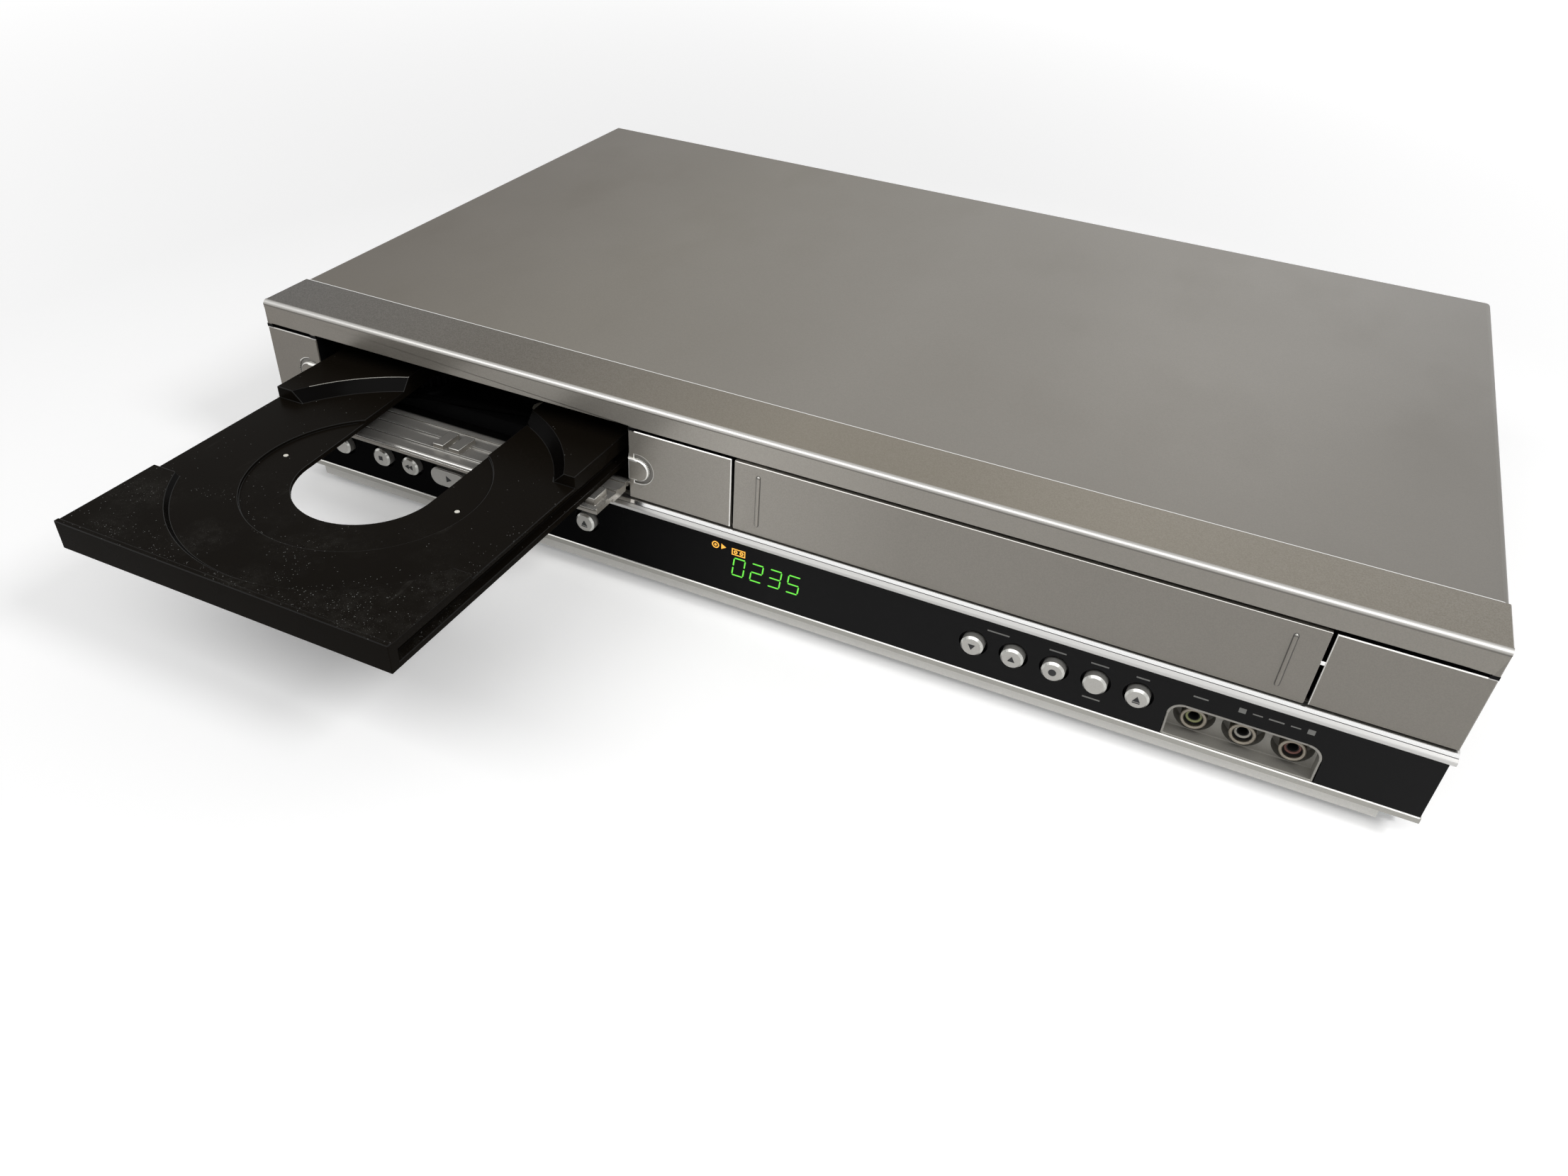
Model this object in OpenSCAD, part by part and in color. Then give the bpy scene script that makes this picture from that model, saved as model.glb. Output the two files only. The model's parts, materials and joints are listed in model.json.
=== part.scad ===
// Disc and tape combo player, cabinet with a disc tray on the left and a cassette door on the right.
// X points to the viewer's right, Y to the back, Z up; the feet stand on z = 0.
// Drawn with the disc tray slid out and its flap folded down beneath it.

/* [Cabinet] */
// Width across the cover's sides
cabinet_w = 435; // [433:0.5:440]
// Distance from the front panels to the cover's back edge
cabinet_d = 259; // [257:0.5:270]
// Thickness of the folded steel cover
cover_t = 0.8; // [0.6:0.1:1]
// Radius of the cover's long top folds
cover_fold_r = 2.4; // [1.6:0.1:3]
// Depth of the bezel's top strip in front of the cover
bezel_top_d = 23.7; // [21:0.1:26]
// Wall thickness of the plastic mouldings
wall = 2.2; // [2:0.1:2.4]
// Thickness of the pressed chassis pan
pan_t = 1; // [0.8:0.1:1.2]
// Height of the chassis pan's side flanges
pan_flange_h = 14; // [10:0.5:18]

/* [Front stack] */
// Height of the rubber feet
foot_h = 4; // [3.5:0.1:5]
// Height of the set-back skirt under the lip
skirt_h = 6.3; // [5.5:0.1:7]
// Height of the silver lip under the black band
lip_h = 2.5; // [2:0.1:3]
// Height of the black band
lens_h = 24.6; // [24:0.1:26]
// Height of the bright strip
strip_h = 3.6; // [3:0.1:4]
// Distance that the bright strip stands proud
strip_proud = 3; // [2:0.1:3.5]
// Height of the silver panels and of both doors
panel_h = 27.45; // [27.2:0.05:28.5]
// Shadow gap between the panels and the top bar
shadow_gap = 1.35; // [1:0.05:1.8]
// Height of the top bar's front face
bar_h = 9.2; // [8.8:0.1:10]
// Radius of the top bar's front edge
bar_r = 2; // [1.2:0.1:2.4]

/* [Disc tray] */
// Width of the silver panel left of the disc opening
left_panel_w = 23.2; // [22.6:0.1:24]
// Width of the disc opening in the front
disc_bay_w = 135.9; // [135:0.1:137]
// Width of the disc tray
tray_w = 126.5; // [125.5:0.1:127.5]
// Length of the disc tray, lip to rear end
tray_l = 168; // [164:0.5:172]
// Distance that the tray's lip stands in front of the panels when it is out
tray_out = 122; // [118:0.5:124]
// Travel of the disc tray
tray_travel = 127; // [125:0.5:128]
// Height of the tray's front lip
tray_lip_h = 10.3; // [9.8:0.1:10.8]
// Diameter of the recess for a large disc
disc_d = 121.2; // [120.8:0.1:122]
// Diameter of the recess for a small disc
small_disc_d = 81; // [80.6:0.1:82]
// Diameter of the tray's central cut-out
cutout_d = 49.4; // [47:0.2:50]
// Module of the tray rack and its gear
gear_module = 1; // [0.9:0.05:1.05]
// Teeth of the tray gear
gear_teeth = 24; // [22:1:25]

/* [Flap and cassette door] */
// Thickness of the disc flap
flap_t = 2; // [1.8:0.1:2.2]
// Length of the finger grip across the flap
grip_l = 154; // [150:0.5:158]
// Height of the finger grip
grip_h = 8.7; // [8:0.1:9.5]
// Width of the cassette door
door_w = 191.2; // [190.5:0.1:192]
// Width of the silver panel right of the cassette door
right_panel_w = 42.2; // [41.6:0.1:42.6]
// Thickness of the cassette door
door_t = 2; // [1.8:0.1:2.2]
// Gap between each door and its panels
door_gap = 1.3; // [1:0.05:1.5]

/* [Buttons and jacks] */
// Diameter of the round button caps
button_d = 7.8; // [7:0.1:8.2]
// Distance that the caps stand proud of the black band
button_proud = 2.4; // [1.8:0.1:2.8]
// Travel of each button
button_travel = 0.8; // [0.5:0.05:0.9]
// Pitch of the five buttons on the right
button_pitch = 13.8; // [13.4:0.1:14]
// Pitch of the three front jacks
jack_pitch = 15.3; // [14.8:0.1:15.6]
// Outer diameter of a jack sleeve
jack_sleeve_d = 8.3; // [8.2:0.05:8.4]
// Diameter of a jack's centre hole
jack_bore_d = 3.3; // [3.2:0.05:3.4]

/* [Cassette bay] */
// Width of a tape cassette
tape_w = 187; // [187:0.1:187.5]
// Thickness of a tape cassette
tape_h = 25; // [25:0.1:25.3]
// Depth of the cassette holder
holder_d = 104; // [100:0.5:106]
// Distance that the holder carries a cassette inwards
holder_travel = 40; // [36:0.5:41]
// Distance that the holder lowers a cassette
holder_drop = 15; // [13:0.1:15.2]
// Diameter of the head drum
drum_d = 62; // [61:0.1:62]

/* [Hidden] */
$fn = 48;
cut = 0.5;
gap = 0.3;
fit_gap = 0.05;

// Heights of the front, from the floor up
skirt_drop = 0.5;
skirt_z = foot_h - skirt_drop;
lip_z = skirt_z + skirt_h;
lens_z = lip_z + lip_h;
strip_z = lens_z + lens_h;
strip_gap = 0.5;
panel_z = strip_z + strip_h + strip_gap;
panel_top = panel_z + panel_h;
bar_z = panel_top + shadow_gap;
top_z = bar_z + bar_h;
half_w = cabinet_w / 2;
disc_bay_x = -half_w + left_panel_w + disc_bay_w / 2;
door_x = half_w - right_panel_w - door_gap - door_w / 2;
pan_z = foot_h;
floor_z = pan_z + pan_t;

// Cover, pan and rear panel
seam = 0.2;
cover_in = half_w - cover_t;
pan_side = cover_in - gap;
cover_hem_z = floor_z + pan_t;
rear_t = 1.2;
rear_face = cabinet_d - cover_t - fit_gap;
rear_y = rear_face - rear_t;
pan_front_y = 8;
pan_rear_h = 6;
tab_h = 10;
tab_inset = 16;
screw_r = 1.5;
screw_hole_r = 1.8;
screw_head_r = 3;
screw_head_h = 1.8;
screw_l = 6;
side_screw_rise = 6;
side_screw_z = floor_z + side_screw_rise;
side_screw_inset = 34;
side_screw_front = bezel_top_d + side_screw_inset;
side_screw_rear = cabinet_d - side_screw_inset;
rear_screw_drop = 6.4;
rear_screw_z = top_z - rear_screw_drop;
rear_screw_inset = 67.5;
rear_screw_x = half_w - rear_screw_inset;
foot_r = 11;
foot_lip = 1.2;
foot_inset = 27;
foot_x = half_w - foot_inset;
foot_front_y = foot_inset;
foot_rear_y = cabinet_d - foot_inset;
foot_bore_r = 4.4;
foot_well = 2.2;

// Front pieces
lens_back = wall;
back_y = wall * 2;
panel_lap = 6;
skirt_inset = 10.5;
skirt_y = 3.5;
lip_proud = 0.3;
strip_tail = 1.6;
strip_over = 0.5;
strip_slant = 0.5;
strip_face_h = 2;
strip_crest = 0.3;
bay_left = disc_bay_x - disc_bay_w / 2;
bay_right = disc_bay_x + disc_bay_w / 2;
door_left = door_x - door_w / 2;
door_right = door_x + door_w / 2;
mid_right = door_left - door_gap;
right_left = door_right + door_gap;
bay_wall_d = 9.4;
grip_shift = 0.85;
grip_x = disc_bay_x - grip_shift;
grip_rise = 12.4;
grip_z = panel_z + grip_rise;
grip_proud = 1.1;
grip_moat = 1.4;
grip_moat_d = 0.7;

// Disc flap: pivot, pins and inner ribs
flap_pivot_y = 1.5;
flap_pivot_rise = 5.3;
flap_pivot_z = panel_z + flap_pivot_rise;
flap_pin_r = 0.8;
flap_pin_l = 1.4;
flap_side_gap = 0.8;
flap_left = bay_left + flap_side_gap;
flap_right = bay_right - flap_side_gap;
flap_rib_h = 0.75;
flap_rib_w = 1.6;
flap_rib_shares = [0.98, 0.76, 0.5, 0.27];
flap_pad_w = 4;
flap_pad_l = 8;
flap_pad_in = 2;
flap_open = 90;
clip_w = 4.4;
clip_h = 2.4;
clip_gap = 2.6;
clip_shares = [0.42, 0.78];

// Disc tray levels and outline
tray_rise_z = 19.3;
tray_top = panel_z + tray_rise_z;
tray_lip_t = 1.8;
tray_lip_over = 0.5;
tray_deck = tray_top - tray_lip_over;
disc_depth = 1.6;
small_depth = 1;
disc_floor = tray_deck - disc_depth;
small_floor = disc_floor - small_depth;
small_floor_t = 1.6;
tray_under = small_floor - small_floor_t;
tray_rise = 2.7;
tray_low = tray_top - tray_lip_h;
tray_front = -tray_out;
tray_rear = tray_front + tray_l;
tray_left = disc_bay_x - tray_w / 2;
tray_right = tray_left + tray_w;
disc_offset = 1.2;
disc_x = disc_bay_x + disc_offset;
disc_inset = 66.4;
disc_y = tray_front + disc_inset;
bevel_spread = 3.9;
finger_l = 28;
block_front = 28.5;
rail_w = 6.5;
groove_d = 3.2;
groove_low = 2.3;
groove_h = 4.4;
cut_flare = 5.6;
cut_rear = 18;
locator_pitch = 70.8;
locator_r = 1.2;
spindle_y = disc_y + tray_travel;

// Rack and gear that drive the tray
addendum_share = 0.8;
dedendum_share = 1.15;
pressure = 20;
flank_steps = 5;
backlash = 0.3;
tooth_pitch = PI * gear_module;
gear_r = gear_module * gear_teeth / 2;
base_r = gear_r * cos(pressure);
tip_r = gear_r + addendum_share * gear_module;
root_r = gear_r - dedendum_share * gear_module;
rack_inset = 5;
rack_x = tray_left + rail_w + rack_inset;
rack_back = 2.6;
gear_x = rack_x + gear_r;
gear_y = 24;
gear_h = 3.8;
gear_z = tray_under - gear_h - 2 * gap;
wheel_r = 15;
wheel_h = 3.4;
wheel_z = gear_z - wheel_h;
belt_r = 0.8;
post_r = 2;
post_plate_t = 2;
post_z = wheel_z - gap - post_plate_t;
motor_pitch = 56;
motor_x = gear_x + motor_pitch;
motor_r = 10.5;
motor_h = 12;
pulley_r = 4;

// Loader frame
frame_gap = 0.7;
frame_in_left = tray_left - frame_gap;
frame_in_right = tray_right + frame_gap;
frame_left = frame_in_left - wall;
frame_right = frame_in_right + wall;
frame_y = 14;
frame_rear_gap = 4;
frame_rear = tray_rear + tray_travel + frame_rear_gap;
frame_leg_h = 19;
frame_z = floor_z + frame_leg_h;
frame_head = 3.5;
frame_top = tray_deck + tray_rise + frame_head;
frame_leg_r = 4;
frame_sill = 12;
hook_l = 9;
hook_gap = 0.45;
hook_rear_y = 34;
bridge_t = 1.2;
bridge_d = 44;
clamp_hub_r = 12.5;
clamp_r = 16;
clamp_t = 1;
clamp_clear = 0.39;
clamp_z = tray_deck + tray_rise + clamp_clear;
clamp_recess_r = 8.6;
clamp_recess = 2.4;
bridge_hole_r = clamp_hub_r + clamp_t;
bridge_z = frame_top;

// Traverse, modelled level and then tilted down about its rear pivot
lift_arm = 97;
lift_drop = 18;
lift_pivot_y = spindle_y + lift_arm;
lift_pivot_z = tray_under - lift_drop;
lift_tilt = 6;
disc_t = 1.2;
seat_z = clamp_z - disc_t - gap;
seat_r = 14.5;
seat_t = 2.2;
hub_r = 7.4;
hub_h = 2.9;
spindle_r = 1;
spindle_motor_r = 12;
spindle_motor_h = 8;
trav_w = 76;
trav_rail = 8;
trav_sink = 2;
trav_top = tray_under - trav_sink;
trav_h = 9;
trav_nose = 24;
trav_front = spindle_y - trav_nose;
trav_tail = 4;
trav_rear = lift_pivot_y + trav_tail;
trav_pin_r = 2.4;
trav_pin_l = 8;
well_gap = 18.6;
well_front = spindle_y + well_gap;
sled_w = 50;
sled_l = 26;
sled_h = 8;
sled_travel = 34;
sled_gap = 1;
sled_front = well_front + sled_gap;
well_tail = 1.4;
well_rear = sled_front + sled_l + sled_travel + well_tail;
eye_inset = 5;
sled_home = sled_front + eye_inset;
rod_r = 1.5;
rod_x = 22;
rod_sink = 5;
rod_z = trav_top - rod_sink;
eye_r = 3;
eye_h = 1.4;
eye_hole_r = 5;

// Cassette door: arms swing on pins above the opening
door_pivot_y = 5.2;
door_pivot_rise = 3.15;
door_pivot_z = panel_top + door_pivot_rise;
door_arm_w = 3;
door_arm_in = 7;
door_arm_r = 2.4;
door_pin_r = 1.4;
door_pin_l = 4.4;
ear_t = 2.4;
ear_r = 3.6;
rib_w = 2.4;
rib_proud = 0.6;
rib_in = 8.9;
rib_margin = 3.6;

// Cassette holder, slider and side plates
tape_gap = 0.5;
sheet_t = 1;
holder_in = tape_w / 2 + tape_gap;
holder_out = holder_in + sheet_t;
holder_y = 37;
holder_z = panel_z + gap;
tape_head = 1.4;
holder_top = holder_z + tape_h + tape_head;
holder_floor_w = 20;
holder_pin_r = 2;
holder_pin_inset = 22;
holder_pin_pitch = 56;
holder_pin_y1 = holder_y + holder_pin_inset;
holder_pin_y2 = holder_pin_y1 + holder_pin_pitch;
holder_pin_drop = 6;
holder_pin_z = holder_top - holder_pin_drop;
plate_gap = 1.2;
slider_x = holder_out + plate_gap;
slider_h = 12;
slider_drop = 16;
slider_low = panel_z - slider_drop;
slider_top = holder_top + sheet_t + plate_gap;
guide_x = slider_x + sheet_t + plate_gap;
guide_tail = 22;
guide_rear = holder_y + holder_d + holder_travel + guide_tail;
guide_top = holder_top - sheet_t;
slot_drop = 8;
slot_z = panel_z - slot_drop;
slot_gap = 0.35;
slider_pin_r = 2;

// Tape deck
deck_leg_h = 9.4;
deck_z = floor_z + deck_leg_h;
deck_t = 1.4;
deck_top = deck_z + deck_t;
deck_y = 28;
deck_rear_gap = 6;
deck_rear = rear_y - deck_rear_gap;
deck_leg_w = 12;
drum_x = door_x;
drum_rear_gap = 9.35;
drum_y = rear_y - drum_rear_gap - drum_d / 2;
drum_base_h = 15;
drum_gap = 0.4;
drum_upper_h = 20;
drum_shaft_r = 3;
reel_pitch = 92;
reel_to_drum = 94.6;
reel_y = drum_y - reel_to_drum;
reel_r = 19;
reel_h = 4;
spline_r = 4.6;
spline_h = 11;
reel_post_r = 1.5;
capstan_dx = 46;
capstan_dy = 22;
capstan_x = drum_x + capstan_dx;
capstan_y = drum_y - capstan_dy;
capstan_r = 1.5;
capstan_h = 24;
flywheel_r = 24;
flywheel_h = 5;
pinch_r = 7;
pinch_h = 14;
pinch_gap = 2.6;
pinch_arm_l = 26;
pinch_arm_w = 9;
pinch_arm_t = 2;
guide_post_r = 3;

// Boards and rear sockets
board_t = 1.6;
standoff = 5;
board_z = floor_z + standoff;
control_y = 9;
control_h = 20.4;
switch_w = 6;
switch_h = 3.3;
switch_tip_r = 1.7;
switch_tip = 0.5;
button_z = lens_z + lens_h / 2;
button_gap = 0.6;
cap_gap = 1.05;
button_hole_r = button_d / 2 + cap_gap;
flange_w = 1.9;
flange_r = button_d / 2 + flange_w;
flange_t = 1;
stem_r = 1.8;
stem_tip = control_y - switch_h - switch_tip - button_travel - gap;
right_button_inset = 144.5;
right_button_x = half_w - right_button_inset;
power_inset = 27.9;
power_x = -half_w + power_inset;
stop_offset = 19.4;
stop_x = power_x + stop_offset;
play_offset = 51.8;
play_x = power_x + play_offset;
play_w = 17;
skip_offset = 18.7;
pause_offset = 32.4;
tray_button_offset = 60.9;
tray_button_x = play_x + tray_button_offset;
display_share = 0.433;
display_x = tray_button_x + display_share * (right_button_x - tray_button_x);
display_w = 62;
display_h = 15;
glass_t = 4;

recess_inset = 32.1;
recess_right = half_w - recess_inset;
recess_w = 47.4;
recess_left = recess_right - recess_w;
recess_h = 14.2;
recess_r = 5;
recess_d = 5.4;
niche_r = 6.6;
niche_d = 4.4;
recess_wall = 1.6;
recess_back = recess_d + niche_d + recess_wall;
front_jack_inset = 8.4;
front_jack_x = recess_left + front_jack_inset;
front_jack_rise = 7.6;
front_jack_z = lens_z + front_jack_rise;
sleeve_t = 0.45;
sleeve_l = 8.2;
insert_l = 6.8;
bore_l = 5.6;
rear_jack_z = 24;
rear_jack_pitch = 14;
rear_jack_rise = 16;
rear_block_d = 9;
panel_hole_r = jack_sleeve_d / 2 + button_gap;
socket_r = 4.8;
socket_l = 8;
socket_bore_r = 1.2;
socket_inset = 22.5;
socket_x = half_w - socket_inset;
socket_z = 24;
socket_rise = 18;
can_w = 28;
can_l = 52;
can_h = 40;
can_z = 12;
inlet_z = 32;
inlet_w = 21;
inlet_h = 14;
inlet_d = 13;
inlet_hole_w = 16;
inlet_hole_h = 8.4;
inlet_hole_d = 9;
inlet_pin_r = 1.2;
inlet_pin_l = 8;
inlet_pitch = 8.6;
inlet_lip = 1;
inlet_r = 1.5;
board_gap = 4;
power_side = 17.5;
power_left = -half_w + power_side;
power_w = 138;
inlet_inset = 14;
inlet_x = power_left + inlet_inset;
rear_jack_gap = 12;
rear_jack_x = power_left + power_w + rear_jack_gap;
power_y = frame_rear + board_gap;
power_d = rear_y - power_y - inlet_d + board_gap;
main_gap = 10;
main_left = frame_left + main_gap;
main_w = frame_right - frame_left - 2 * main_gap;
main_y = 24;
main_d = frame_rear - main_y - main_gap;

// The footprint's middle, so that the origin lies under the whole object with its tray out
rear_reach = rear_face + sleeve_l;
footprint_mid_y = (rear_reach - tray_out) / 2;

// Shared shapes
module place() {
    translate([0, -footprint_mid_y, 0])
        children();
}

module slab(x, y, z) {
    translate([x[0], y[0], z[0]])
        cube([x[1] - x[0], y[1] - y[0], z[1] - z[0]]);
}

module rod_y(r, l, at) {
    translate(at)
        rotate([-90, 0, 0])
            cylinder(r = r, h = l);
}

module rod_x(r, l, at) {
    translate(at)
        rotate([0, 90, 0])
            cylinder(r = r, h = l);
}

module rod_z(r, l, at) {
    translate(at)
        cylinder(r = r, h = l);
}

// A vertical outline drawn in X and Z, pushed back along Y from y0 to y1
module push_y(y0, y1) {
    translate([0, y1, 0])
        rotate([90, 0, 0])
            linear_extrude(y1 - y0)
                children();
}

// An outline drawn in Y and Z, drawn out along X from x0 to x1
module push_x(x0, x1) {
    translate([x0, 0, 0])
        rotate([90, 0, 90])
            linear_extrude(x1 - x0)
                children();
}

module pill(l, h) {
    square([l - h, h], center = true);
    for (side = [-1, 1])
        translate([side * (l - h) / 2, 0])
            circle(d = h);
}

module round_box(w, h, r) {
    square([w - 2 * r, h], center = true);
    square([w, h - 2 * r], center = true);
    for (sx = [-1, 1], sz = [-1, 1])
        translate([sx * (w / 2 - r), sz * (h / 2 - r)])
            circle(r = r);
}

module mirror_pair() {
    children();
    mirror([1, 0, 0])
        children();
}

// Cabinet shells
module fold_outline(half, top, r, low) {
    translate([-half, low])
        square([2 * half, top - r - low]);
    translate([-half + r, low])
        square([2 * half - 2 * r, top - low]);
    for (side = [-1, 1])
        translate([side * (half - r), top - r])
            circle(r = r);
}

module top_cover() {
    color("#a8a39a")
        place() difference() {
            union() {
                push_y(bezel_top_d + seam, cabinet_d)
                    difference() {
                        fold_outline(half_w, top_z, cover_fold_r, cover_hem_z);
                        fold_outline(cover_in, top_z - cover_t, cover_fold_r - cover_t, cover_hem_z - cut);
                    }
                slab([-cover_in + tab_inset, cover_in - tab_inset], [cabinet_d - cover_t, cabinet_d],
                    [top_z - cover_t - tab_h, top_z - cover_t / 2]);
            }
            for (x = [-rear_screw_x, 0, rear_screw_x])
                rod_y(screw_hole_r, cover_t + 2 * cut, [x, cabinet_d - cover_t - cut, rear_screw_z]);
            for (x = [-half_w - cut, cover_in - cut], y = [side_screw_front, side_screw_rear])
                rod_x(screw_hole_r, cover_t + 2 * cut, [x, y, side_screw_z]);
        }
}

vent_w = 2.6;
vent_l = 26;
vent_pitch = 6.4;
vent_count = 9;
bead_h = 0.8;
bead_w = 8;
bead_l = 150;

module vent_row(count) {
    for (i = [0 : count - 1])
        translate([(i - (count - 1) / 2) * vent_pitch, 0])
            rotate([0, 0, 90])
                pill(vent_l, vent_w);
}

module bottom_chassis() {
    pan_rear = rear_y - gap;
    color("#b4b6b6")
        place() difference() {
            union() {
                slab([-pan_side, pan_side], [pan_front_y, pan_rear], [pan_z, floor_z]);
                mirror_pair()
                    slab([pan_side - pan_t, pan_side], [bezel_top_d + gap, pan_rear], [pan_z, pan_z + pan_flange_h]);
                slab([-pan_side, pan_side], [pan_rear - pan_t, pan_rear], [pan_z, pan_z + pan_rear_h]);
                for (x = [-half_w / 2, half_w / 2])
                    translate([x, cabinet_d / 2 + cover_fold_r, floor_z])
                        rotate([0, 0, 90])
                            linear_extrude(bead_h)
                                pill(bead_l, bead_w);
            }
            for (x = [-foot_x, foot_x], y = [foot_front_y, foot_rear_y])
                rod_z(screw_hole_r, pan_t + 2 * cut, [x, y, pan_z - cut]);
            translate([power_left + power_w / 2, power_y + power_d / 2, pan_z - cut])
                linear_extrude(pan_t + 2 * cut)
                    vent_row(vent_count);
            for (x = [-half_w, pan_side - pan_t - cut], y = [side_screw_front, side_screw_rear])
                rod_x(screw_r, half_w - pan_side + pan_t + 2 * cut, [x, y, side_screw_z]);
        }
}

rear_vent_inset = 88;
rear_vent_x = power_left + rear_vent_inset;
rear_vent_z = 52;
rear_vent_count = 12;

module rear_panel() {
    color("#2b2b2b")
        place() difference() {
            slab([-cover_in + 2 * gap, cover_in - 2 * gap], [rear_y, rear_face], [pan_z + gap, top_z - cover_t - 2 * gap]);
            for (i = [0 : 2], j = [0, 1])
                rod_y(panel_hole_r, rear_t + 2 * cut,
                    [rear_jack_x + i * rear_jack_pitch, rear_y - cut, rear_jack_z + j * rear_jack_rise]);
            for (j = [0, 1])
                rod_y(socket_r + gap, rear_t + 2 * cut, [socket_x, rear_y - cut, socket_z + j * socket_rise]);
            push_y(rear_y - cut, rear_face + cut)
                translate([inlet_x, inlet_z])
                    square([inlet_w + gap, inlet_h + gap], center = true);
            push_y(rear_y - cut, rear_face + cut)
                translate([rear_vent_x, rear_vent_z])
                    vent_row(rear_vent_count);
            for (x = [-rear_screw_x, 0, rear_screw_x])
                rod_y(screw_r, rear_t + 2 * cut, [x, rear_y - cut, rear_screw_z]);
        }
}

module rubber_feet() {
    color("#1c1c1c")
        place() for (x = [-foot_x, foot_x], y = [foot_front_y, foot_rear_y])
            translate([x, y, 0])
                difference() {
                    union() {
                        cylinder(r = foot_r - foot_lip, h = foot_h);
                        translate([0, 0, foot_lip])
                            cylinder(r = foot_r, h = foot_h - foot_lip);
                    }
                    translate([0, 0, -cut])
                        cylinder(r = foot_bore_r, h = foot_well + cut);
                    translate([0, 0, -cut])
                        cylinder(r = screw_hole_r, h = foot_h + 2 * cut);
                }
}

// A pan-head screw along +Z, its head's underside on z = 0 and its shank below
slot_w = 0.8;
module screw(l) {
    difference() {
        union() {
            translate([0, 0, -l])
                cylinder(r = screw_r - fit_gap, h = l + screw_head_h / 2);
            cylinder(r1 = screw_head_r, r2 = screw_head_r - screw_head_h / 3, h = screw_head_h);
        }
        for (a = [0, 90])
            rotate([0, 0, a])
                translate([-slot_w / 2, -screw_head_r / 2, screw_head_h / 2])
                    cube([slot_w, screw_head_r, screw_head_h]);
    }
}

module case_screws() {
    color("#c9c9c7")
        place() {
            for (side = [-1, 1], y = [side_screw_front, side_screw_rear])
                translate([side * (half_w + fit_gap), y, side_screw_z])
                    rotate([0, side * 90, 0])
                        screw(screw_l);
            for (x = [-rear_screw_x, 0, rear_screw_x])
                translate([x, cabinet_d + fit_gap, rear_screw_z])
                    rotate([-90, 0, 0])
                        screw(screw_l);
            for (x = [-foot_x, foot_x], y = [foot_front_y, foot_rear_y])
                translate([x, y, foot_well - fit_gap])
                    rotate([180, 0, 0])
                        screw(screw_l);
        }
}

// Front moulding
module grip_outline(grow) {
    translate([grip_x, grip_z])
        pill(grip_l + 2 * grow, grip_h + 2 * grow);
}

module panel_fronts(y0, y1, z0, z1) {
    slab([-half_w, bay_left], [y0, y1], [z0, z1]);
    slab([bay_right, mid_right], [y0, y1], [z0, z1]);
    slab([right_left, half_w], [y0, y1], [z0, z1]);
}

module grip_ends() {
    intersection() {
        push_y(-grip_proud, wall)
            grip_outline(0);
        union() {
            slab([-half_w, bay_left], [-half_w, half_w], [0, top_z]);
            slab([bay_right, mid_right], [-half_w, half_w], [0, top_z]);
        }
    }
}

module button_holes(y0, y1, r) {
    for (x = round_button_xs)
        rod_y(r, y1 - y0, [x, y0, button_z]);
    push_y(y0, y1)
        translate([play_x, button_z])
            pill(play_w - button_d + 2 * r, 2 * r);
}

round_button_xs = [power_x, stop_x, play_x - skip_offset, play_x + skip_offset, play_x + pause_offset,
    tray_button_x, right_button_x, right_button_x + button_pitch, right_button_x + 2 * button_pitch,
    right_button_x + 3 * button_pitch, right_button_x + 4 * button_pitch];

module top_bar() {
    push_x(-half_w, half_w)
        difference() {
            union() {
                translate([bar_r, bar_z])
                    square([bezel_top_d - bar_r, bar_h]);
                translate([0, bar_z])
                    square([bezel_top_d, bar_h - bar_r]);
                translate([bar_r, top_z - bar_r])
                    circle(r = bar_r);
            }
            translate([wall, bar_z - cut])
                square([bezel_top_d, bar_h - wall + cut]);
        }
}

ledge_l = 5;
ledge_t = 1.6;
module front_bezel() {
    color("#aeaaa2")
        place() difference() {
            union() {
                top_bar();
                slab([-cover_in + cover_fold_r, cover_in - cover_fold_r], [bezel_top_d - wall, bezel_top_d + ledge_l],
                    [top_z - cover_t - gap - ledge_t, top_z - cover_t - gap]);
                mirror_pair() {
                    slab([half_w - wall, half_w], [lens_back, bezel_top_d], [lip_z, top_z - bar_r]);
                    slab([half_w - wall, half_w], [0, bezel_top_d], [panel_z, top_z - bar_r]);
                }
                difference() {
                    panel_fronts(0, wall, panel_z, panel_top);
                    push_y(-cut, grip_moat_d)
                        grip_outline(grip_moat);
                }
                grip_ends();
                panel_fronts(wall, back_y, panel_z - panel_lap, bar_z + panel_lap);
                slab([-half_w, half_w], [lens_back, back_y], [lip_z, panel_z - strip_gap]);
                slab([-half_w, half_w], [-lip_proud, back_y], [lip_z, lens_z]);
                slab([-half_w + skirt_inset, half_w - skirt_inset], [skirt_y, skirt_y + wall], [skirt_z, lip_z + cut]);
                for (x = [bay_left - wall, bay_right]) {
                    slab([x, x + wall], [lens_back, bay_wall_d], [panel_z - panel_lap, bar_z + panel_lap]);
                    slab([x, x + wall], [0, bay_wall_d], [panel_z, bar_z + panel_lap]);
                }
                door_ears();
            }
            button_holes(-cut, back_y + cut, flange_r + gap);
            push_y(lens_back - cut, back_y + cut)
                translate([display_x, button_z])
                    square([display_w + 2 * gap, display_h + 2 * gap], center = true);
            slab([recess_left - recess_wall - gap, recess_right + recess_wall + gap], [-half_w, back_y + cut],
                [lens_z, lens_z + recess_h + recess_wall + gap]);
            rod_x(flap_pin_r + fit_gap, bay_right - bay_left + 2 * wall + 2 * cut,
                [bay_left - wall - cut, flap_pivot_y, flap_pivot_z]);
        }
}

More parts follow.
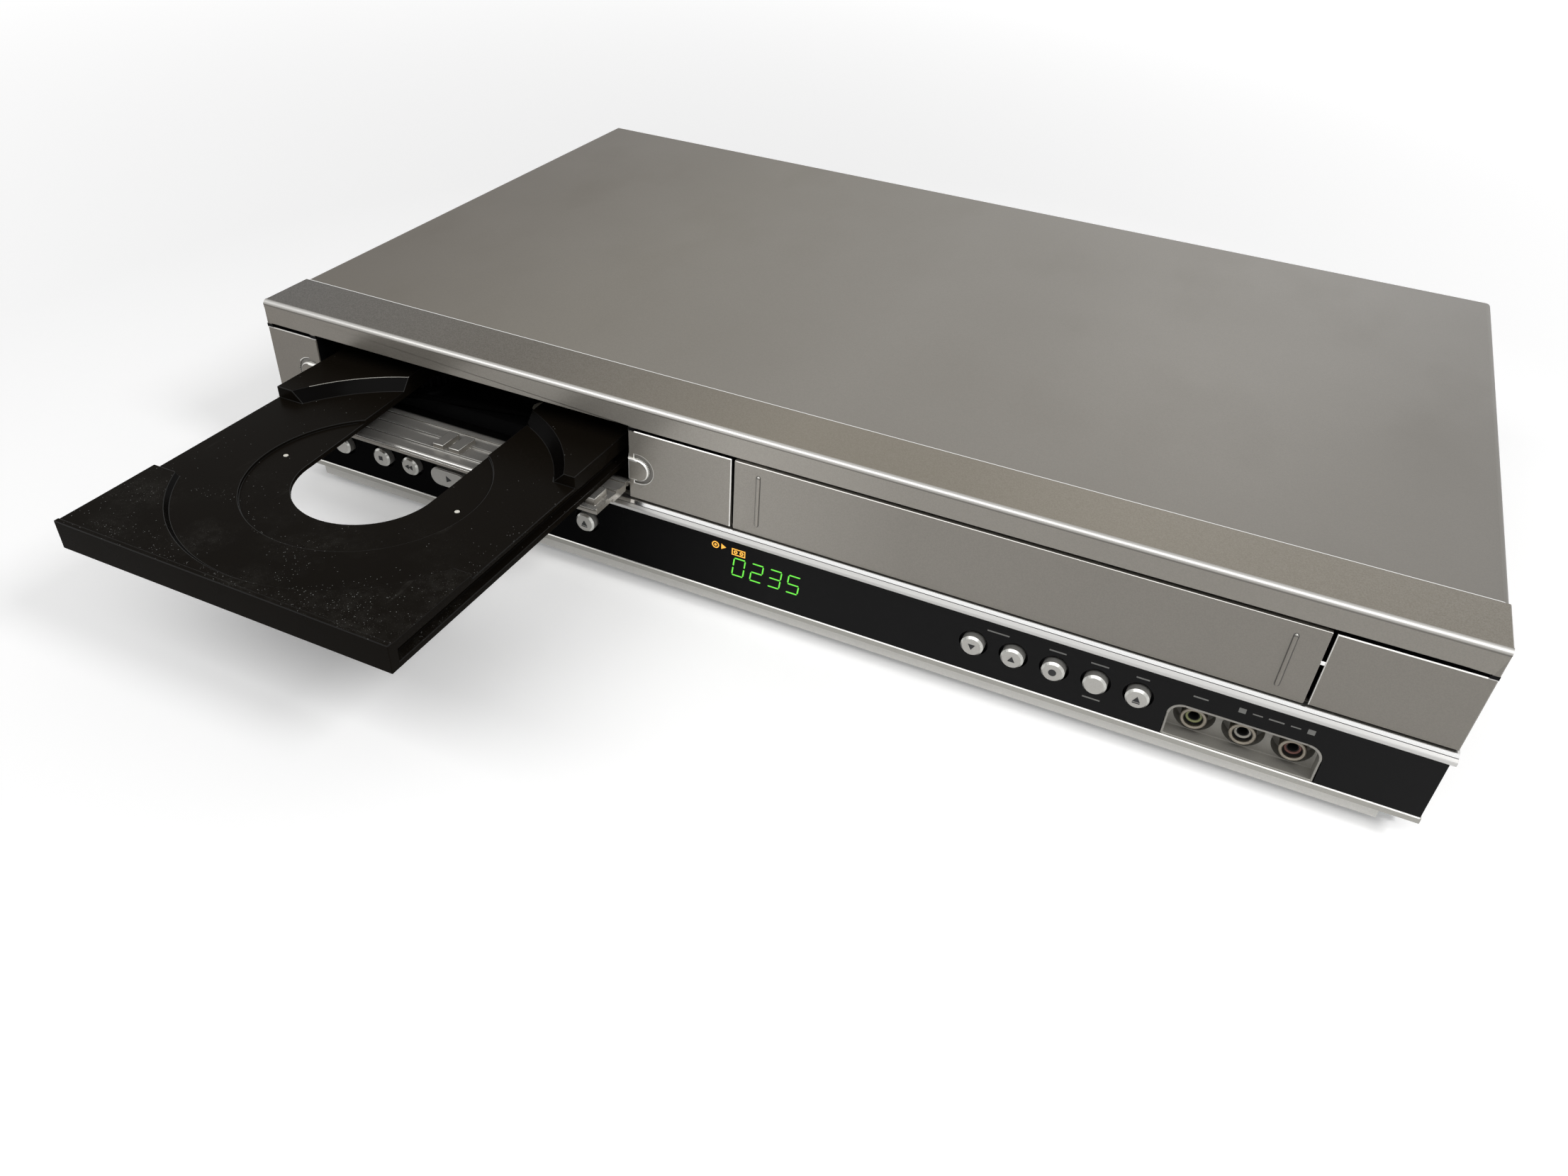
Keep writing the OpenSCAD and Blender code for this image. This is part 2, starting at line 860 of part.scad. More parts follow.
// Ears that hang from the top bar and carry the cassette door's pins
module door_ears() {
    for (x = [door_left + door_arm_in - ear_t - gap, door_right - door_arm_in + gap])
        difference() {
            union() {
                slab([x, x + ear_t], [wall - cut, door_pivot_y + ear_r], [door_pivot_z, top_z - wall / 2]);
                rod_x(ear_r, ear_t, [x, door_pivot_y, door_pivot_z]);
                slab([x, x + ear_t], [wall - cut, door_pivot_y], [bar_z, door_pivot_z]);
            }
            rod_x(door_pin_r + fit_gap, ear_t + 2 * cut, [x - cut, door_pivot_y, door_pivot_z]);
        }
}

module chrome_strip() {
    color("#e4e4e0")
        place() push_x(-half_w - strip_over, half_w + strip_over)
            polygon([[-strip_proud, strip_z + strip_face_h], [-strip_crest, strip_z + strip_h],
                [strip_tail, strip_z + strip_h], [strip_tail, strip_z + gap],
                [-strip_proud + strip_slant, strip_z + gap]]);
}

module recess_outline(grow) {
    w = recess_right - recess_left + 2 * grow;
    h = recess_h + grow;
    difference() {
        translate([(recess_left + recess_right) / 2, lens_z + h - w / 2])
            round_box(w, w, recess_r + grow);
        translate([recess_left - grow - cut, lens_z - w])
            square([w + 2 * cut, w]);
    }
}

module lens_panel() {
    color("#101011")
        place() difference() {
            slab([-half_w + gap, half_w - gap], [0, lens_back], [lens_z, strip_z]);
            button_holes(-cut, lens_back + cut, button_hole_r);
            push_y(-cut, lens_back + cut)
                recess_outline(gap / 2);
        }
}

module jack_recess() {
    color("#6d6a64")
        place() difference() {
            union() {
                push_y(0, recess_back)
                    recess_outline(0);
                push_y(lens_back + fit_gap, recess_back)
                    recess_outline(recess_wall);
            }
            push_y(-cut, recess_d)
                difference() {
                    recess_outline(-recess_wall / 2);
                    translate([recess_left - cut, 0])
                        square([recess_right - recess_left + 2 * cut, lens_z + recess_wall / 2]);
                }
            for (i = [0 : 2])
                rod_y(niche_r, niche_d + cut, [front_jack_x + i * jack_pitch, recess_d - cut, front_jack_z]);
            for (i = [0 : 2])
                rod_y(jack_sleeve_d / 2, recess_wall + 2 * cut,
                    [front_jack_x + i * jack_pitch, recess_d + niche_d - cut, front_jack_z]);
        }
}

// One jack along +Y from its seat at y = 0
module jack_at(at, dir) {
    translate(at)
        rotate([-90 * dir, 0, 0])
            children();
}

module jack_sleeve(l) {
    difference() {
        cylinder(d = jack_sleeve_d, h = l);
        translate([0, 0, -cut])
            cylinder(r = jack_sleeve_d / 2 - sleeve_t, h = l + 2 * cut);
    }
}

module jack_insert() {
    difference() {
        cylinder(r = jack_sleeve_d / 2 - sleeve_t, h = insert_l);
        translate([0, 0, insert_l - bore_l])
            cylinder(d = jack_bore_d, h = bore_l + cut);
    }
}

module all_jacks() {
    for (i = [0 : 2])
        jack_at([front_jack_x + i * jack_pitch, recess_d + niche_d + recess_wall, front_jack_z], -1)
            children();
    for (i = [0 : 2], j = [0, 1])
        jack_at([rear_jack_x + i * rear_jack_pitch, rear_face, rear_jack_z + j * rear_jack_rise], 1)
            children();
}

module jack_sleeves() {
    color("#d8d4c8")
        place() all_jacks()
            jack_sleeve(sleeve_l);
}

module jack_inserts() {
    color("#e8dfc0")
        place() all_jacks()
            jack_insert();
}

module rear_jack_block() {
    margin = rear_jack_pitch / 2 - gap;
    color("#1b1b1b")
        place() slab([rear_jack_x - margin, rear_jack_x + 2 * rear_jack_pitch + margin], [rear_y - rear_block_d, rear_y],
            [rear_jack_z - margin, rear_jack_z + rear_jack_rise + margin]);
    color("#1b1b1b")
        place() for (i = [0 : 2], j = [0, 1])
            rod_y(panel_hole_r - gap, rear_t + cut,
                [rear_jack_x + i * rear_jack_pitch, rear_y - cut, rear_jack_z + j * rear_jack_rise]);
}

module display_module() {
    color("#1e2a26")
        place() {
            push_y(lens_back + gap, lens_back + gap + glass_t)
                translate([display_x, button_z])
                    round_box(display_w, display_h, wall / 2);
            slab([display_x - display_w / 2, display_x + display_w / 2], [lens_back + gap + glass_t, control_y - gap],
                [button_z - display_h / 4, button_z + display_h / 4]);
        }
}

control_lap = 14.4;
control_left = power_x - control_lap;
control_right = recess_left - recess_wall - 2 * board_t;
control_chip_shares = [-0.74, -0.39, 0.84];
chip_w = 9;
chip_h = 1.6;
module control_board() {
    color("#3b5a2a")
        place() {
            slab([control_left, control_right], [control_y, control_y + board_t],
                [button_z - control_h / 2, button_z + control_h / 2]);
            for (share = control_chip_shares) {
                x = display_x + share * display_w;
                slab([x, x + chip_w], [control_y + board_t, control_y + board_t + chip_h],
                    [button_z - chip_w / 2, button_z + chip_w / 2]);
            }
        }
}

module tact_switches() {
    color("#26282c")
        place() for (x = concat(round_button_xs, [play_x])) {
            slab([x - switch_w / 2, x + switch_w / 2], [control_y - switch_h, control_y],
                [button_z - switch_w / 2, button_z + switch_w / 2]);
            rod_y(switch_tip_r, switch_tip + cut, [x, control_y - switch_h - switch_tip, button_z]);
        }
}

// A cap with a soft rim, a flange behind the band and a stem that reaches its switch
rim = 0.7;
module button(x) {
    r = button_d / 2;
    place() {
        rod_y(r, lens_back + gap + flange_t + button_proud - rim, [x, -button_proud + rim, button_z]);
        translate([x, -button_proud, button_z])
            rotate([-90, 0, 0])
                cylinder(r1 = r - rim, r2 = r, h = rim);
        rod_y(flange_r, flange_t, [x, lens_back + gap, button_z]);
        rod_y(stem_r, stem_tip - lens_back - gap, [x, lens_back + gap, button_z]);
    }
}

module pill_button(x) {
    place() {
        push_y(-button_proud + rim / 2, lens_back + gap + flange_t)
            translate([x, button_z])
                pill(play_w, button_d);
        push_y(-button_proud, -button_proud + rim / 2)
            translate([x, button_z])
                pill(play_w - rim, button_d - rim);
        push_y(lens_back + gap, lens_back + gap + flange_t)
            translate([x, button_z])
                pill(play_w + 2 * (flange_r - button_d / 2), 2 * flange_r);
        rod_y(stem_r, stem_tip - lens_back - gap, [x, lens_back + gap, button_z]);
    }
}

module power_button() color("#b9b8b3") button(power_x);
module stop_button() color("#b9b8b3") button(stop_x);
module rewind_button() color("#b9b8b3") button(play_x - skip_offset);
module play_button() color("#b9b8b3") pill_button(play_x);
module forward_button() color("#b9b8b3") button(play_x + skip_offset);
module pause_button() color("#b9b8b3") button(play_x + pause_offset);
module tray_button() color("#b9b8b3") button(tray_button_x);
module channel_down_button() color("#b9b8b3") button(right_button_x);
module channel_up_button() color("#b9b8b3") button(right_button_x + button_pitch);
module record_button() color("#b9b8b3") button(right_button_x + 2 * button_pitch);
module source_button() color("#b9b8b3") button(right_button_x + 3 * button_pitch);
module cassette_button() color("#b9b8b3") button(right_button_x + 4 * button_pitch);

// Disc flap, drawn shut and then folded forward about its pins
module about_flap_pivot(a) {
    translate([0, flap_pivot_y, flap_pivot_z])
        rotate([a, 0, 0])
            translate([0, -flap_pivot_y, -flap_pivot_z])
                children();
}

module flap_shut() {
    mid = (flap_left + flap_right) / 2;
    difference() {
        slab([flap_left, flap_right], [0, flap_t], [panel_z, panel_top]);
        push_y(-cut, grip_moat_d)
            grip_outline(grip_moat);
    }
    intersection() {
        push_y(-grip_proud, flap_t)
            grip_outline(0);
        slab([flap_left, flap_right], [-half_w, half_w], [0, top_z]);
    }
    for (share = flap_rib_shares)
        slab([flap_left + flap_pad_l, flap_right], [flap_t - cut, flap_t + flap_rib_h],
            [panel_z + share * panel_h - flap_rib_w / 2, panel_z + share * panel_h + flap_rib_w / 2]);
    for (side = [-1, 1])
        slab([mid + side * (clip_gap + clip_w) / 2 - clip_w / 2, mid + side * (clip_gap + clip_w) / 2 + clip_w / 2],
            [flap_t - cut, flap_t + clip_h],
            [panel_z + clip_shares[0] * panel_h, panel_z + clip_shares[1] * panel_h]);
    for (x = [flap_left + flap_pad_in, flap_right - flap_pad_in - flap_pad_w])
        slab([x, x + flap_pad_w], [flap_t - cut, tray_low - flap_pivot_z + flap_pivot_y - gap],
            [panel_top - flap_pad_l - flap_pad_in, panel_top - flap_pad_in]);
    for (x = [flap_left - flap_pin_l, flap_right - cut])
        rod_x(flap_pin_r, flap_pin_l + cut, [x, flap_pivot_y, flap_pivot_z]);
}

module dvd_flap() {
    color("#aeaaa2")
        place() about_flap_pivot(flap_open)
            flap_shut();
}

// Cassette door with two raised ribs and two hinge arms
module cassette_door() {
    color("#aeaaa2")
        place() {
            slab([door_left, door_right], [0, door_t], [panel_z, panel_top]);
            for (x = [door_left + rib_in, door_right - rib_in])
                push_y(-rib_proud, door_t)
                    translate([x, (panel_z + panel_top) / 2])
                        rotate([0, 0, 90])
                            pill(panel_h - 2 * rib_margin, rib_w);
            for (side = [0, 1]) {
                x = side == 0 ? door_left + door_arm_in : door_right - door_arm_in - door_arm_w;
                pin = side == 0 ? x - door_pin_l : x + door_arm_w - cut;
                slab([x, x + door_arm_w], [door_t - cut, door_pivot_y + door_arm_r],
                    [panel_top - 2 * panel_lap, panel_top - 2 * wall]);
                slab([x, x + door_arm_w], [door_pivot_y - door_arm_r, door_pivot_y + door_arm_r],
                    [panel_top - 2 * wall - cut, door_pivot_z]);
                rod_x(door_arm_r, door_arm_w, [x, door_pivot_y, door_pivot_z]);
                rod_x(door_pin_r, door_pin_l + cut, [pin, door_pivot_y, door_pivot_z]);
            }
        }
}

// Torsion spring of the cassette door, round its left pin
spring_l = 2.4;
spring_wire = 0.6;
module hinge_springs() {
    x = door_left + door_arm_in - ear_t - 2 * gap - spring_l;
    r = door_pin_r + gap;
    color("#c8c8c4")
        place() difference() {
            union() {
                rod_x(r + spring_wire, spring_l, [x, door_pivot_y, door_pivot_z]);
                slab([x, x + spring_wire], [door_pivot_y, door_pivot_y + ear_r + spring_wire],
                    [door_pivot_z + r, door_pivot_z + r + spring_wire]);
            }
            rod_x(r, spring_l + 2 * cut, [x - cut, door_pivot_y, door_pivot_z]);
        }
}

// Disc tray: levels cut from one block, rails beneath its sides and a rack under its left edge
module cutout_outline() {
    r = cutout_d / 2;
    far = tray_rear - cut_rear - disc_y;
    translate([disc_x, disc_y]) {
        circle(r = r);
        polygon([[-r, 0], [r, 0], [r, far], [-r - cut_flare, far]]);
    }
}

module tray_solid() {
    slab([tray_left, tray_right], [tray_front, tray_rear], [tray_under, tray_deck]);
    slab([tray_left, tray_right], [tray_front, tray_front + tray_lip_t], [tray_low, tray_top]);
    slab([tray_left, tray_right], [disc_y + block_front, tray_rear], [tray_deck - cut, tray_deck + tray_rise]);
    for (x = [tray_left, tray_right - rail_w])
        slab([x, x + rail_w], [tray_front, tray_rear], [tray_low, tray_under + cut]);
}

module rack_outline() {
    flank = tan(pressure);
    half = tooth_pitch / 4 - backlash / 4;
    add = addendum_share * gear_module;
    ded = dedendum_share * gear_module;
    first = floor((tray_travel + gear_r / 2) / tooth_pitch);
    translate([rack_x - ded - rack_back, gear_y - (first + 1) * tooth_pitch])
        square([rack_back + fit_gap, (first + 3) * tooth_pitch]);
    for (i = [-first : 1])
        translate([rack_x, gear_y + i * tooth_pitch])
            polygon([[-ded, -half - ded * flank], [add, -half + add * flank],
                [add, half - add * flank], [-ded, half + ded * flank]]);
}

module disc_tray() {
    groove_z = tray_low + groove_low;
    color("#17150f")
        place() {
            difference() {
                tray_solid();
                translate([disc_x, disc_y, disc_floor])
                    cylinder(r1 = disc_d / 2, r2 = disc_d / 2 + bevel_spread, h = tray_deck + tray_rise - disc_floor + fit_gap);
                translate([disc_x, disc_y, small_floor])
                    cylinder(d = small_disc_d, h = disc_depth + small_depth);
                slab([tray_left - cut, tray_right + cut], [disc_y - finger_l, disc_y + block_front],
                    [disc_floor, tray_top + cut]);
                translate([0, 0, tray_under - cut])
                    linear_extrude(tray_rise + tray_lip_h)
                        cutout_outline();
                for (side = [-1, 1])
                    rod_z(locator_r, tray_lip_h, [disc_x + side * locator_pitch / 2, disc_y, tray_under - cut]);
                for (x = [tray_left - cut, tray_right - groove_d])
                    slab([x, x + groove_d + cut], [tray_front + 2 * tray_lip_t, tray_rear + cut],
                        [groove_z, groove_z + groove_h]);
            }
            translate([0, 0, gear_z])
                linear_extrude(tray_under - gear_z + fit_gap)
                    rack_outline();
        }
}

// Half angle of a gear tooth at radius r, by the involute of its base circle
function involute(r) = let (t = sqrt(pow(r / base_r, 2) - 1)) t * 180 / PI - atan(t);
function tooth_half(r) = (tooth_pitch / 4 - backlash / 4) / gear_r * 180 / PI + involute(gear_r) - involute(r);
function flank_r(i) = base_r + (tip_r - base_r) * i / flank_steps;
function polar(r, a) = [r * cos(a), r * sin(a)];

module gear_outline() {
    circle(r = root_r);
    for (i = [0 : gear_teeth - 1])
        rotate([0, 0, (i + 1 / 2) * 360 / gear_teeth + 180])
            polygon(concat([polar(root_r - cut, -tooth_half(base_r))],
                [for (k = [0 : flank_steps]) polar(flank_r(k), -tooth_half(flank_r(k)))],
                [for (k = [flank_steps : -1 : 0]) polar(flank_r(k), tooth_half(flank_r(k)))],
                [polar(root_r - cut, tooth_half(base_r))]));
}

module loader_gear() {
    color("#d9d4c4")
        place() translate([gear_x, gear_y, 0])
            difference() {
                union() {
                    translate([0, 0, gear_z])
                        linear_extrude(gear_h)
                            gear_outline();
                    translate([0, 0, wheel_z])
                        cylinder(r = wheel_r, h = wheel_h);
                }
                translate([0, 0, wheel_z - cut])
                    cylinder(r = post_r + fit_gap, h = wheel_h + gear_h + 2 * cut);
                translate([0, 0, wheel_z + wheel_h / 2])
                    rotate_extrude()
                        translate([wheel_r, 0])
                            circle(r = 2 * belt_r);
            }
}

module loader_motor() {
    color("#9a9c9e")
        place() {
            rod_z(motor_r, motor_h, [motor_x, gear_y, post_z - motor_h]);
            rod_z(spindle_r, wheel_z + wheel_h + gap - post_z + cut, [motor_x, gear_y, post_z - cut]);
        }
}

module motor_pulley() {
    color("#d9d4c4")
        place() translate([motor_x, gear_y, wheel_z])
            difference() {
                cylinder(r = pulley_r, h = wheel_h);
                translate([0, 0, -cut])
                    cylinder(r = spindle_r + fit_gap, h = wheel_h + 2 * cut);
                translate([0, 0, wheel_h / 2])
                    rotate_extrude()
                        translate([pulley_r, 0])
                            circle(r = 2 * belt_r);
            }
}

module loader_belt() {
    reach = motor_x - gear_x;
    z = wheel_z + wheel_h / 2;
    color("#151515")
        place() translate([gear_x, gear_y, z - belt_r])
            linear_extrude(2 * belt_r)
                difference() {
                    belt_loop(wheel_r + gap, pulley_r + gap, reach);
                    belt_loop(wheel_r + gap - 2 * belt_r, pulley_r + gap - 2 * belt_r, reach);
                }
}

// A band round two circles
module belt_loop(ra, rb, reach) {
    hull() {
        circle(r = ra);
        translate([reach, 0])
            circle(r = rb);
    }
}

module loader_frame() {
    wall_x = [[frame_left, frame_in_left], [frame_in_right, frame_right]];
    groove_z = tray_low + groove_low;
    color("#202022")
        place() difference() {
            union() {
                for (x = wall_x)
                    slab(x, [frame_y, frame_rear], [frame_z, frame_top]);
                slab([frame_left, frame_right], [frame_rear - wall, frame_rear], [frame_z, frame_top]);
                slab([frame_left, frame_right], [frame_y, frame_rear], [frame_z, frame_z + wall]);
                slab([frame_left, frame_right], [frame_y, frame_y + wall], [frame_z, post_z]);
                slab([frame_left, motor_x + motor_r + wall], [frame_y, gear_y + motor_r + wall],
                    [post_z, post_z + post_plate_t]);
                rod_z(post_r, wheel_z + wheel_h + gear_h - post_z, [gear_x, gear_y, post_z]);
                for (y = [frame_y + wall, hook_rear_y]) {
                    slab([frame_in_left - cut, tray_left + groove_d - hook_gap], [y, y + hook_l],
                        [groove_z + hook_gap, groove_z + groove_h - hook_gap]);
                    slab([tray_right - groove_d + hook_gap, frame_in_right + cut], [y, y + hook_l],
                        [groove_z + hook_gap, groove_z + groove_h - hook_gap]);
                }
                for (x = [frame_left + frame_leg_r, frame_right - frame_leg_r], y = [frame_y + frame_leg_r, frame_rear - frame_leg_r])
                    rod_z(frame_leg_r, frame_z - floor_z + cut, [x, y, floor_z]);
                for (side = [-1, 1])
                    lift_bearing(disc_x + side * (trav_w / 2 + trav_pin_l / 2 + gap));
            }
            slab([frame_in_left + frame_sill, frame_in_right - frame_sill], [frame_y + frame_sill, lift_pivot_y - frame_sill],
                [frame_z - cut, frame_z + wall + cut]);
            rod_z(motor_r + gap, motor_h, [motor_x, gear_y, post_z - motor_h]);
            rod_z(spindle_r + gap, 2 * wall + 2 * cut, [motor_x, gear_y, post_z - cut]);
            rod_x(trav_pin_r + fit_gap, trav_w + 4 * trav_pin_l, [disc_x - trav_w / 2 - 2 * trav_pin_l, lift_pivot_y, lift_pivot_z]);
        }
}

module lift_bearing(x) {
    half = trav_pin_l / 2;
    slab([x - half + gap, x + half], [lift_pivot_y - half, lift_pivot_y + half], [frame_z, lift_pivot_z]);
    rod_x(half, trav_pin_l - gap, [x - half + gap, lift_pivot_y, lift_pivot_z]);
}

module clamp_bridge() {
    color("#b9bcbd")
        place() difference() {
            union() {
                slab([frame_left, frame_right], [spindle_y - bridge_d / 2, spindle_y + bridge_d / 2], [bridge_z, bridge_z + bridge_t]);
                rod_z(bridge_hole_r + wall, 2 * bridge_t, [disc_x, spindle_y, bridge_z]);
            }
            rod_z(bridge_hole_r, 2 * bridge_t + 2 * cut, [disc_x, spindle_y, bridge_z - cut]);
        }
}

module disc_clamp() {
    top = bridge_z + 2 * bridge_t + gap;
    color("#26262a")
        place() translate([disc_x, spindle_y, 0])
            difference() {
                union() {
                    translate([0, 0, clamp_z])
                        cylinder(r = clamp_hub_r, h = top - clamp_z);
                    translate([0, 0, top])
                        cylinder(r = clamp_r, h = clamp_t);
                }
                translate([0, 0, clamp_z - cut])
                    cylinder(r = clamp_recess_r, h = clamp_recess + cut);
            }
}

// Traverse pieces, tilted down while the tray is out
module lowered() {
    place() translate([0, lift_pivot_y, lift_pivot_z])
        rotate([lift_tilt, 0, 0])
            translate([0, -lift_pivot_y, -lift_pivot_z])
                children();
}

module traverse_chassis() {
    left = disc_x - trav_w / 2;
    right = disc_x + trav_w / 2;
    low = trav_top - trav_h;
    color("#8f9295")
        lowered() difference() {
            union() {
                slab([left, right], [trav_front, trav_rear], [low, trav_top]);
                slab([left, right], [lift_pivot_y - trav_rail, trav_rear], [lift_pivot_z - trav_pin_r, trav_top]);
                rod_x(trav_pin_r, trav_w + 2 * trav_pin_l, [left - trav_pin_l, lift_pivot_y, lift_pivot_z]);
            }
            slab([left + trav_rail, right - trav_rail], [well_front, well_rear], [low - cut, trav_top + cut]);
            rod_z(spindle_motor_r + gap, trav_h, [disc_x, spindle_y, low - wall]);
            rod_z(spindle_r + gap, 2 * trav_h, [disc_x, spindle_y, low]);
            for (side = [-1, 1])
                rod_y(rod_r, well_rear + trav_rail - well_front + wall, [disc_x + side * rod_x, well_front - wall, rod_z]);
        }
}

module spindle_motor() {
    low = trav_top - trav_h;
    color("#c2c4c4")
        lowered() {
            rod_z(spindle_motor_r, spindle_motor_h, [disc_x, spindle_y, low - wall]);
            rod_z(spindle_r, seat_z - low + wall - spindle_motor_h, [disc_x, spindle_y, low - wall + spindle_motor_h]);
        }
}

module sled_rails() {
    color("#d5d7d8")
        lowered() for (side = [-1, 1])
            rod_y(rod_r, well_rear + wall - well_front + wall, [disc_x + side * rod_x, well_front - wall, rod_z]);
}

module turntable() {
    color("#2c2c30")
        lowered() translate([disc_x, spindle_y, 0])
            difference() {
                union() {
                    translate([0, 0, seat_z - seat_t])
                        cylinder(r = seat_r, h = seat_t);
                    translate([0, 0, seat_z - cut])
                        cylinder(r1 = hub_r, r2 = hub_r - spindle_r, h = hub_h + cut);
                }
                translate([0, 0, seat_z - seat_t - cut])
                    cylinder(r = spindle_r + fit_gap, h = seat_t + cut + fit_gap);
            }
}

module pickup_sled() {
    color("#4a4c50")
        lowered() difference() {
            slab([disc_x - sled_w / 2, disc_x + sled_w / 2], [sled_front, sled_front + sled_l],
                [trav_top - sled_h, trav_top - gap]);
            for (side = [-1, 1])
                rod_y(rod_r + fit_gap, sled_l + 2 * cut, [disc_x + side * rod_x, sled_front - cut, rod_z]);
            rod_z(eye_hole_r, sled_h, [disc_x, sled_home, trav_top - sled_h / 2]);
        }
}

module objective_lens() {
    color("#6f86b8")
        lowered() {
            rod_z(eye_r, eye_h + sled_h / 2, [disc_x, sled_home, trav_top - sled_h / 2]);
        }
}

// Tape deck
module vcr_deck() {
    left = door_x - guide_x - sheet_t;
    right = door_x + guide_x + sheet_t;
    color("#b7b9ba")
        place() difference() {
            union() {
                slab([left, right], [deck_y, deck_rear], [deck_z, deck_top]);
                for (x = [left, right - deck_leg_w], y = [deck_y, deck_rear - deck_t])
                    slab([x, x + deck_leg_w], [y, y + deck_t], [floor_z, deck_z + cut]);
                for (side = [-1, 1])
                    rod_z(reel_post_r, reel_h + spline_h / 2, [door_x + side * reel_pitch / 2, reel_y, deck_top - cut]);
                rod_z(guide_post_r, drum_base_h, [drum_x - drum_d / 2 - 3 * guide_post_r, drum_y - drum_d / 4, deck_top - cut]);
                rod_z(guide_post_r, drum_base_h, [drum_x - drum_d / 2 - 9 * guide_post_r, drum_y - drum_d / 2, deck_top - cut]);
                rod_z(guide_post_r, pinch_arm_t, [pinch_pivot_x, pinch_pivot_y, deck_top - cut]);
                rod_z(reel_post_r, 3 * pinch_arm_t, [pinch_pivot_x, pinch_pivot_y, deck_top - cut]);
            }
            rod_z(capstan_r + fit_gap, deck_t + 2 * cut, [capstan_x, capstan_y, deck_z - cut]);
        }
}

pinch_x = capstan_x + capstan_r + pinch_r + pinch_gap;
pinch_y = capstan_y;
pinch_pivot_x = pinch_x;
pinch_pivot_y = pinch_y - pinch_arm_l;

module drum_base() {
    color("#c6c8c9")
        place() {
            rod_z(drum_d / 2 + guide_post_r, 2 * deck_t, [drum_x, drum_y, deck_top]);
            rod_z(drum_d / 2, drum_base_h, [drum_x, drum_y, deck_top]);
            rod_z(drum_shaft_r, drum_gap + drum_upper_h / 2, [drum_x, drum_y, deck_top + drum_base_h - cut]);
        }
}

module head_drum() {
    z = deck_top + drum_base_h + drum_gap;
    color("#e1e2e2")
        place() difference() {
            rod_z(drum_d / 2 - fit_gap, drum_upper_h, [drum_x, drum_y, z]);
            rod_z(drum_shaft_r + fit_gap, drum_upper_h / 2 + gap + cut, [drum_x, drum_y, z - cut]);
            difference() {
                rod_z(drum_d / 2 - guide_post_r, deck_t + cut, [drum_x, drum_y, z + drum_upper_h - deck_t]);
                rod_z(drum_d / 4, deck_t + 2 * cut, [drum_x, drum_y, z + drum_upper_h - deck_t - cut]);
            }
        }
}

module capstan() {
    color("#d0d2d3")
        place() {
            rod_z(capstan_r, capstan_h + deck_t + gap + flywheel_h, [capstan_x, capstan_y, deck_z - gap - flywheel_h]);
            rod_z(flywheel_r, flywheel_h, [capstan_x, capstan_y, deck_z - gap - flywheel_h]);
        }
}

module pinch_arm() {
    z = deck_top + pinch_arm_t + gap;
    color("#8d8f90")
        place() difference() {
            union() {
                slab([pinch_x - pinch_arm_w / 2, pinch_x + pinch_arm_w / 2], [pinch_pivot_y, pinch_y], [z, z + pinch_arm_t]);
                rod_z(pinch_arm_w / 2, pinch_arm_t, [pinch_pivot_x, pinch_pivot_y, z]);
                rod_z(pinch_arm_w / 2, pinch_arm_t, [pinch_x, pinch_y, z]);
                rod_z(pinch_r, pinch_h, [pinch_x, pinch_y, z + pinch_arm_t - cut]);
            }
            rod_z(reel_post_r + fit_gap, pinch_arm_t + 2 * cut, [pinch_pivot_x, pinch_pivot_y, z - cut]);
        }
}

module reel(x) {
    spokes = 6;
    place() translate([x, reel_y, deck_top + gap])
        difference() {
            union() {
                cylinder(r = reel_r, h = reel_h);
                cylinder(r = spline_r, h = reel_h + spline_h);
                for (i = [0 : spokes - 1])
                    rotate([0, 0, i * 360 / spokes])
                        translate([0, -slot_w / 2, 0])
                            cube([spline_r + slot_w, slot_w, reel_h + spline_h - slot_w]);
            }
            translate([0, 0, -cut])
                cylinder(r = reel_post_r + fit_gap, h = reel_h + spline_h / 2 + cut + gap);
        }
}

module supply_reel() color("#2e2f33") reel(door_x - reel_pitch / 2);
module take_up_reel() color("#2e2f33") reel(door_x + reel_pitch / 2);

module carrier_side_plates() {
    color("#aeb0b1")
        place() for (side = [-1, 1]) {
            x = side > 0 ? door_x + guide_x : door_x - guide_x - sheet_t;
            difference() {
                slab([x, x + sheet_t], [holder_y, guide_rear], [deck_top, guide_top]);
                slab([x - cut, x + sheet_t + cut],
                    [holder_pin_y1 - slider_pin_r - slot_gap, holder_pin_y2 + holder_travel + slider_pin_r + slot_gap],
                    [slot_z - slider_pin_r - slot_gap, slot_z + slider_pin_r + slot_gap]);
            }
        }
}

module carrier_slider() {
    color("#9c9ea0")
        place() {
            for (side = [-1, 1]) {
                x = side > 0 ? door_x + slider_x : door_x - slider_x - sheet_t;
                pin = side > 0 ? x + sheet_t - cut : x - (guide_x - slider_x);
                difference() {
                    union() {
                        slab([x, x + sheet_t], [holder_pin_y1 - slider_h / 2, holder_pin_y2 + slider_h / 2],
                            [slider_low, guide_top]);
                        slab([x, x + sheet_t], [holder_pin_y2 - slider_h, holder_pin_y2 + slider_h / 2],
                            [guide_top - cut, slider_top + sheet_t]);
                        for (y = [holder_pin_y1, holder_pin_y2])
                            rod_x(slider_pin_r, guide_x - slider_x + cut, [pin, y, slot_z]);
                    }
                    for (y = [holder_pin_y1, holder_pin_y2])
                        slab([x - cut, x + sheet_t + cut], [y - holder_pin_r - slot_gap, y + holder_pin_r + slot_gap],
                            [holder_pin_z - holder_drop - holder_pin_r - slot_gap, holder_pin_z + holder_pin_r + slot_gap]);
                }
            }
            slab([door_x - slider_x - sheet_t, door_x + slider_x + sheet_t],
                [holder_pin_y2 - slider_h, holder_pin_y2 + slider_h / 2], [slider_top, slider_top + sheet_t]);
        }
}

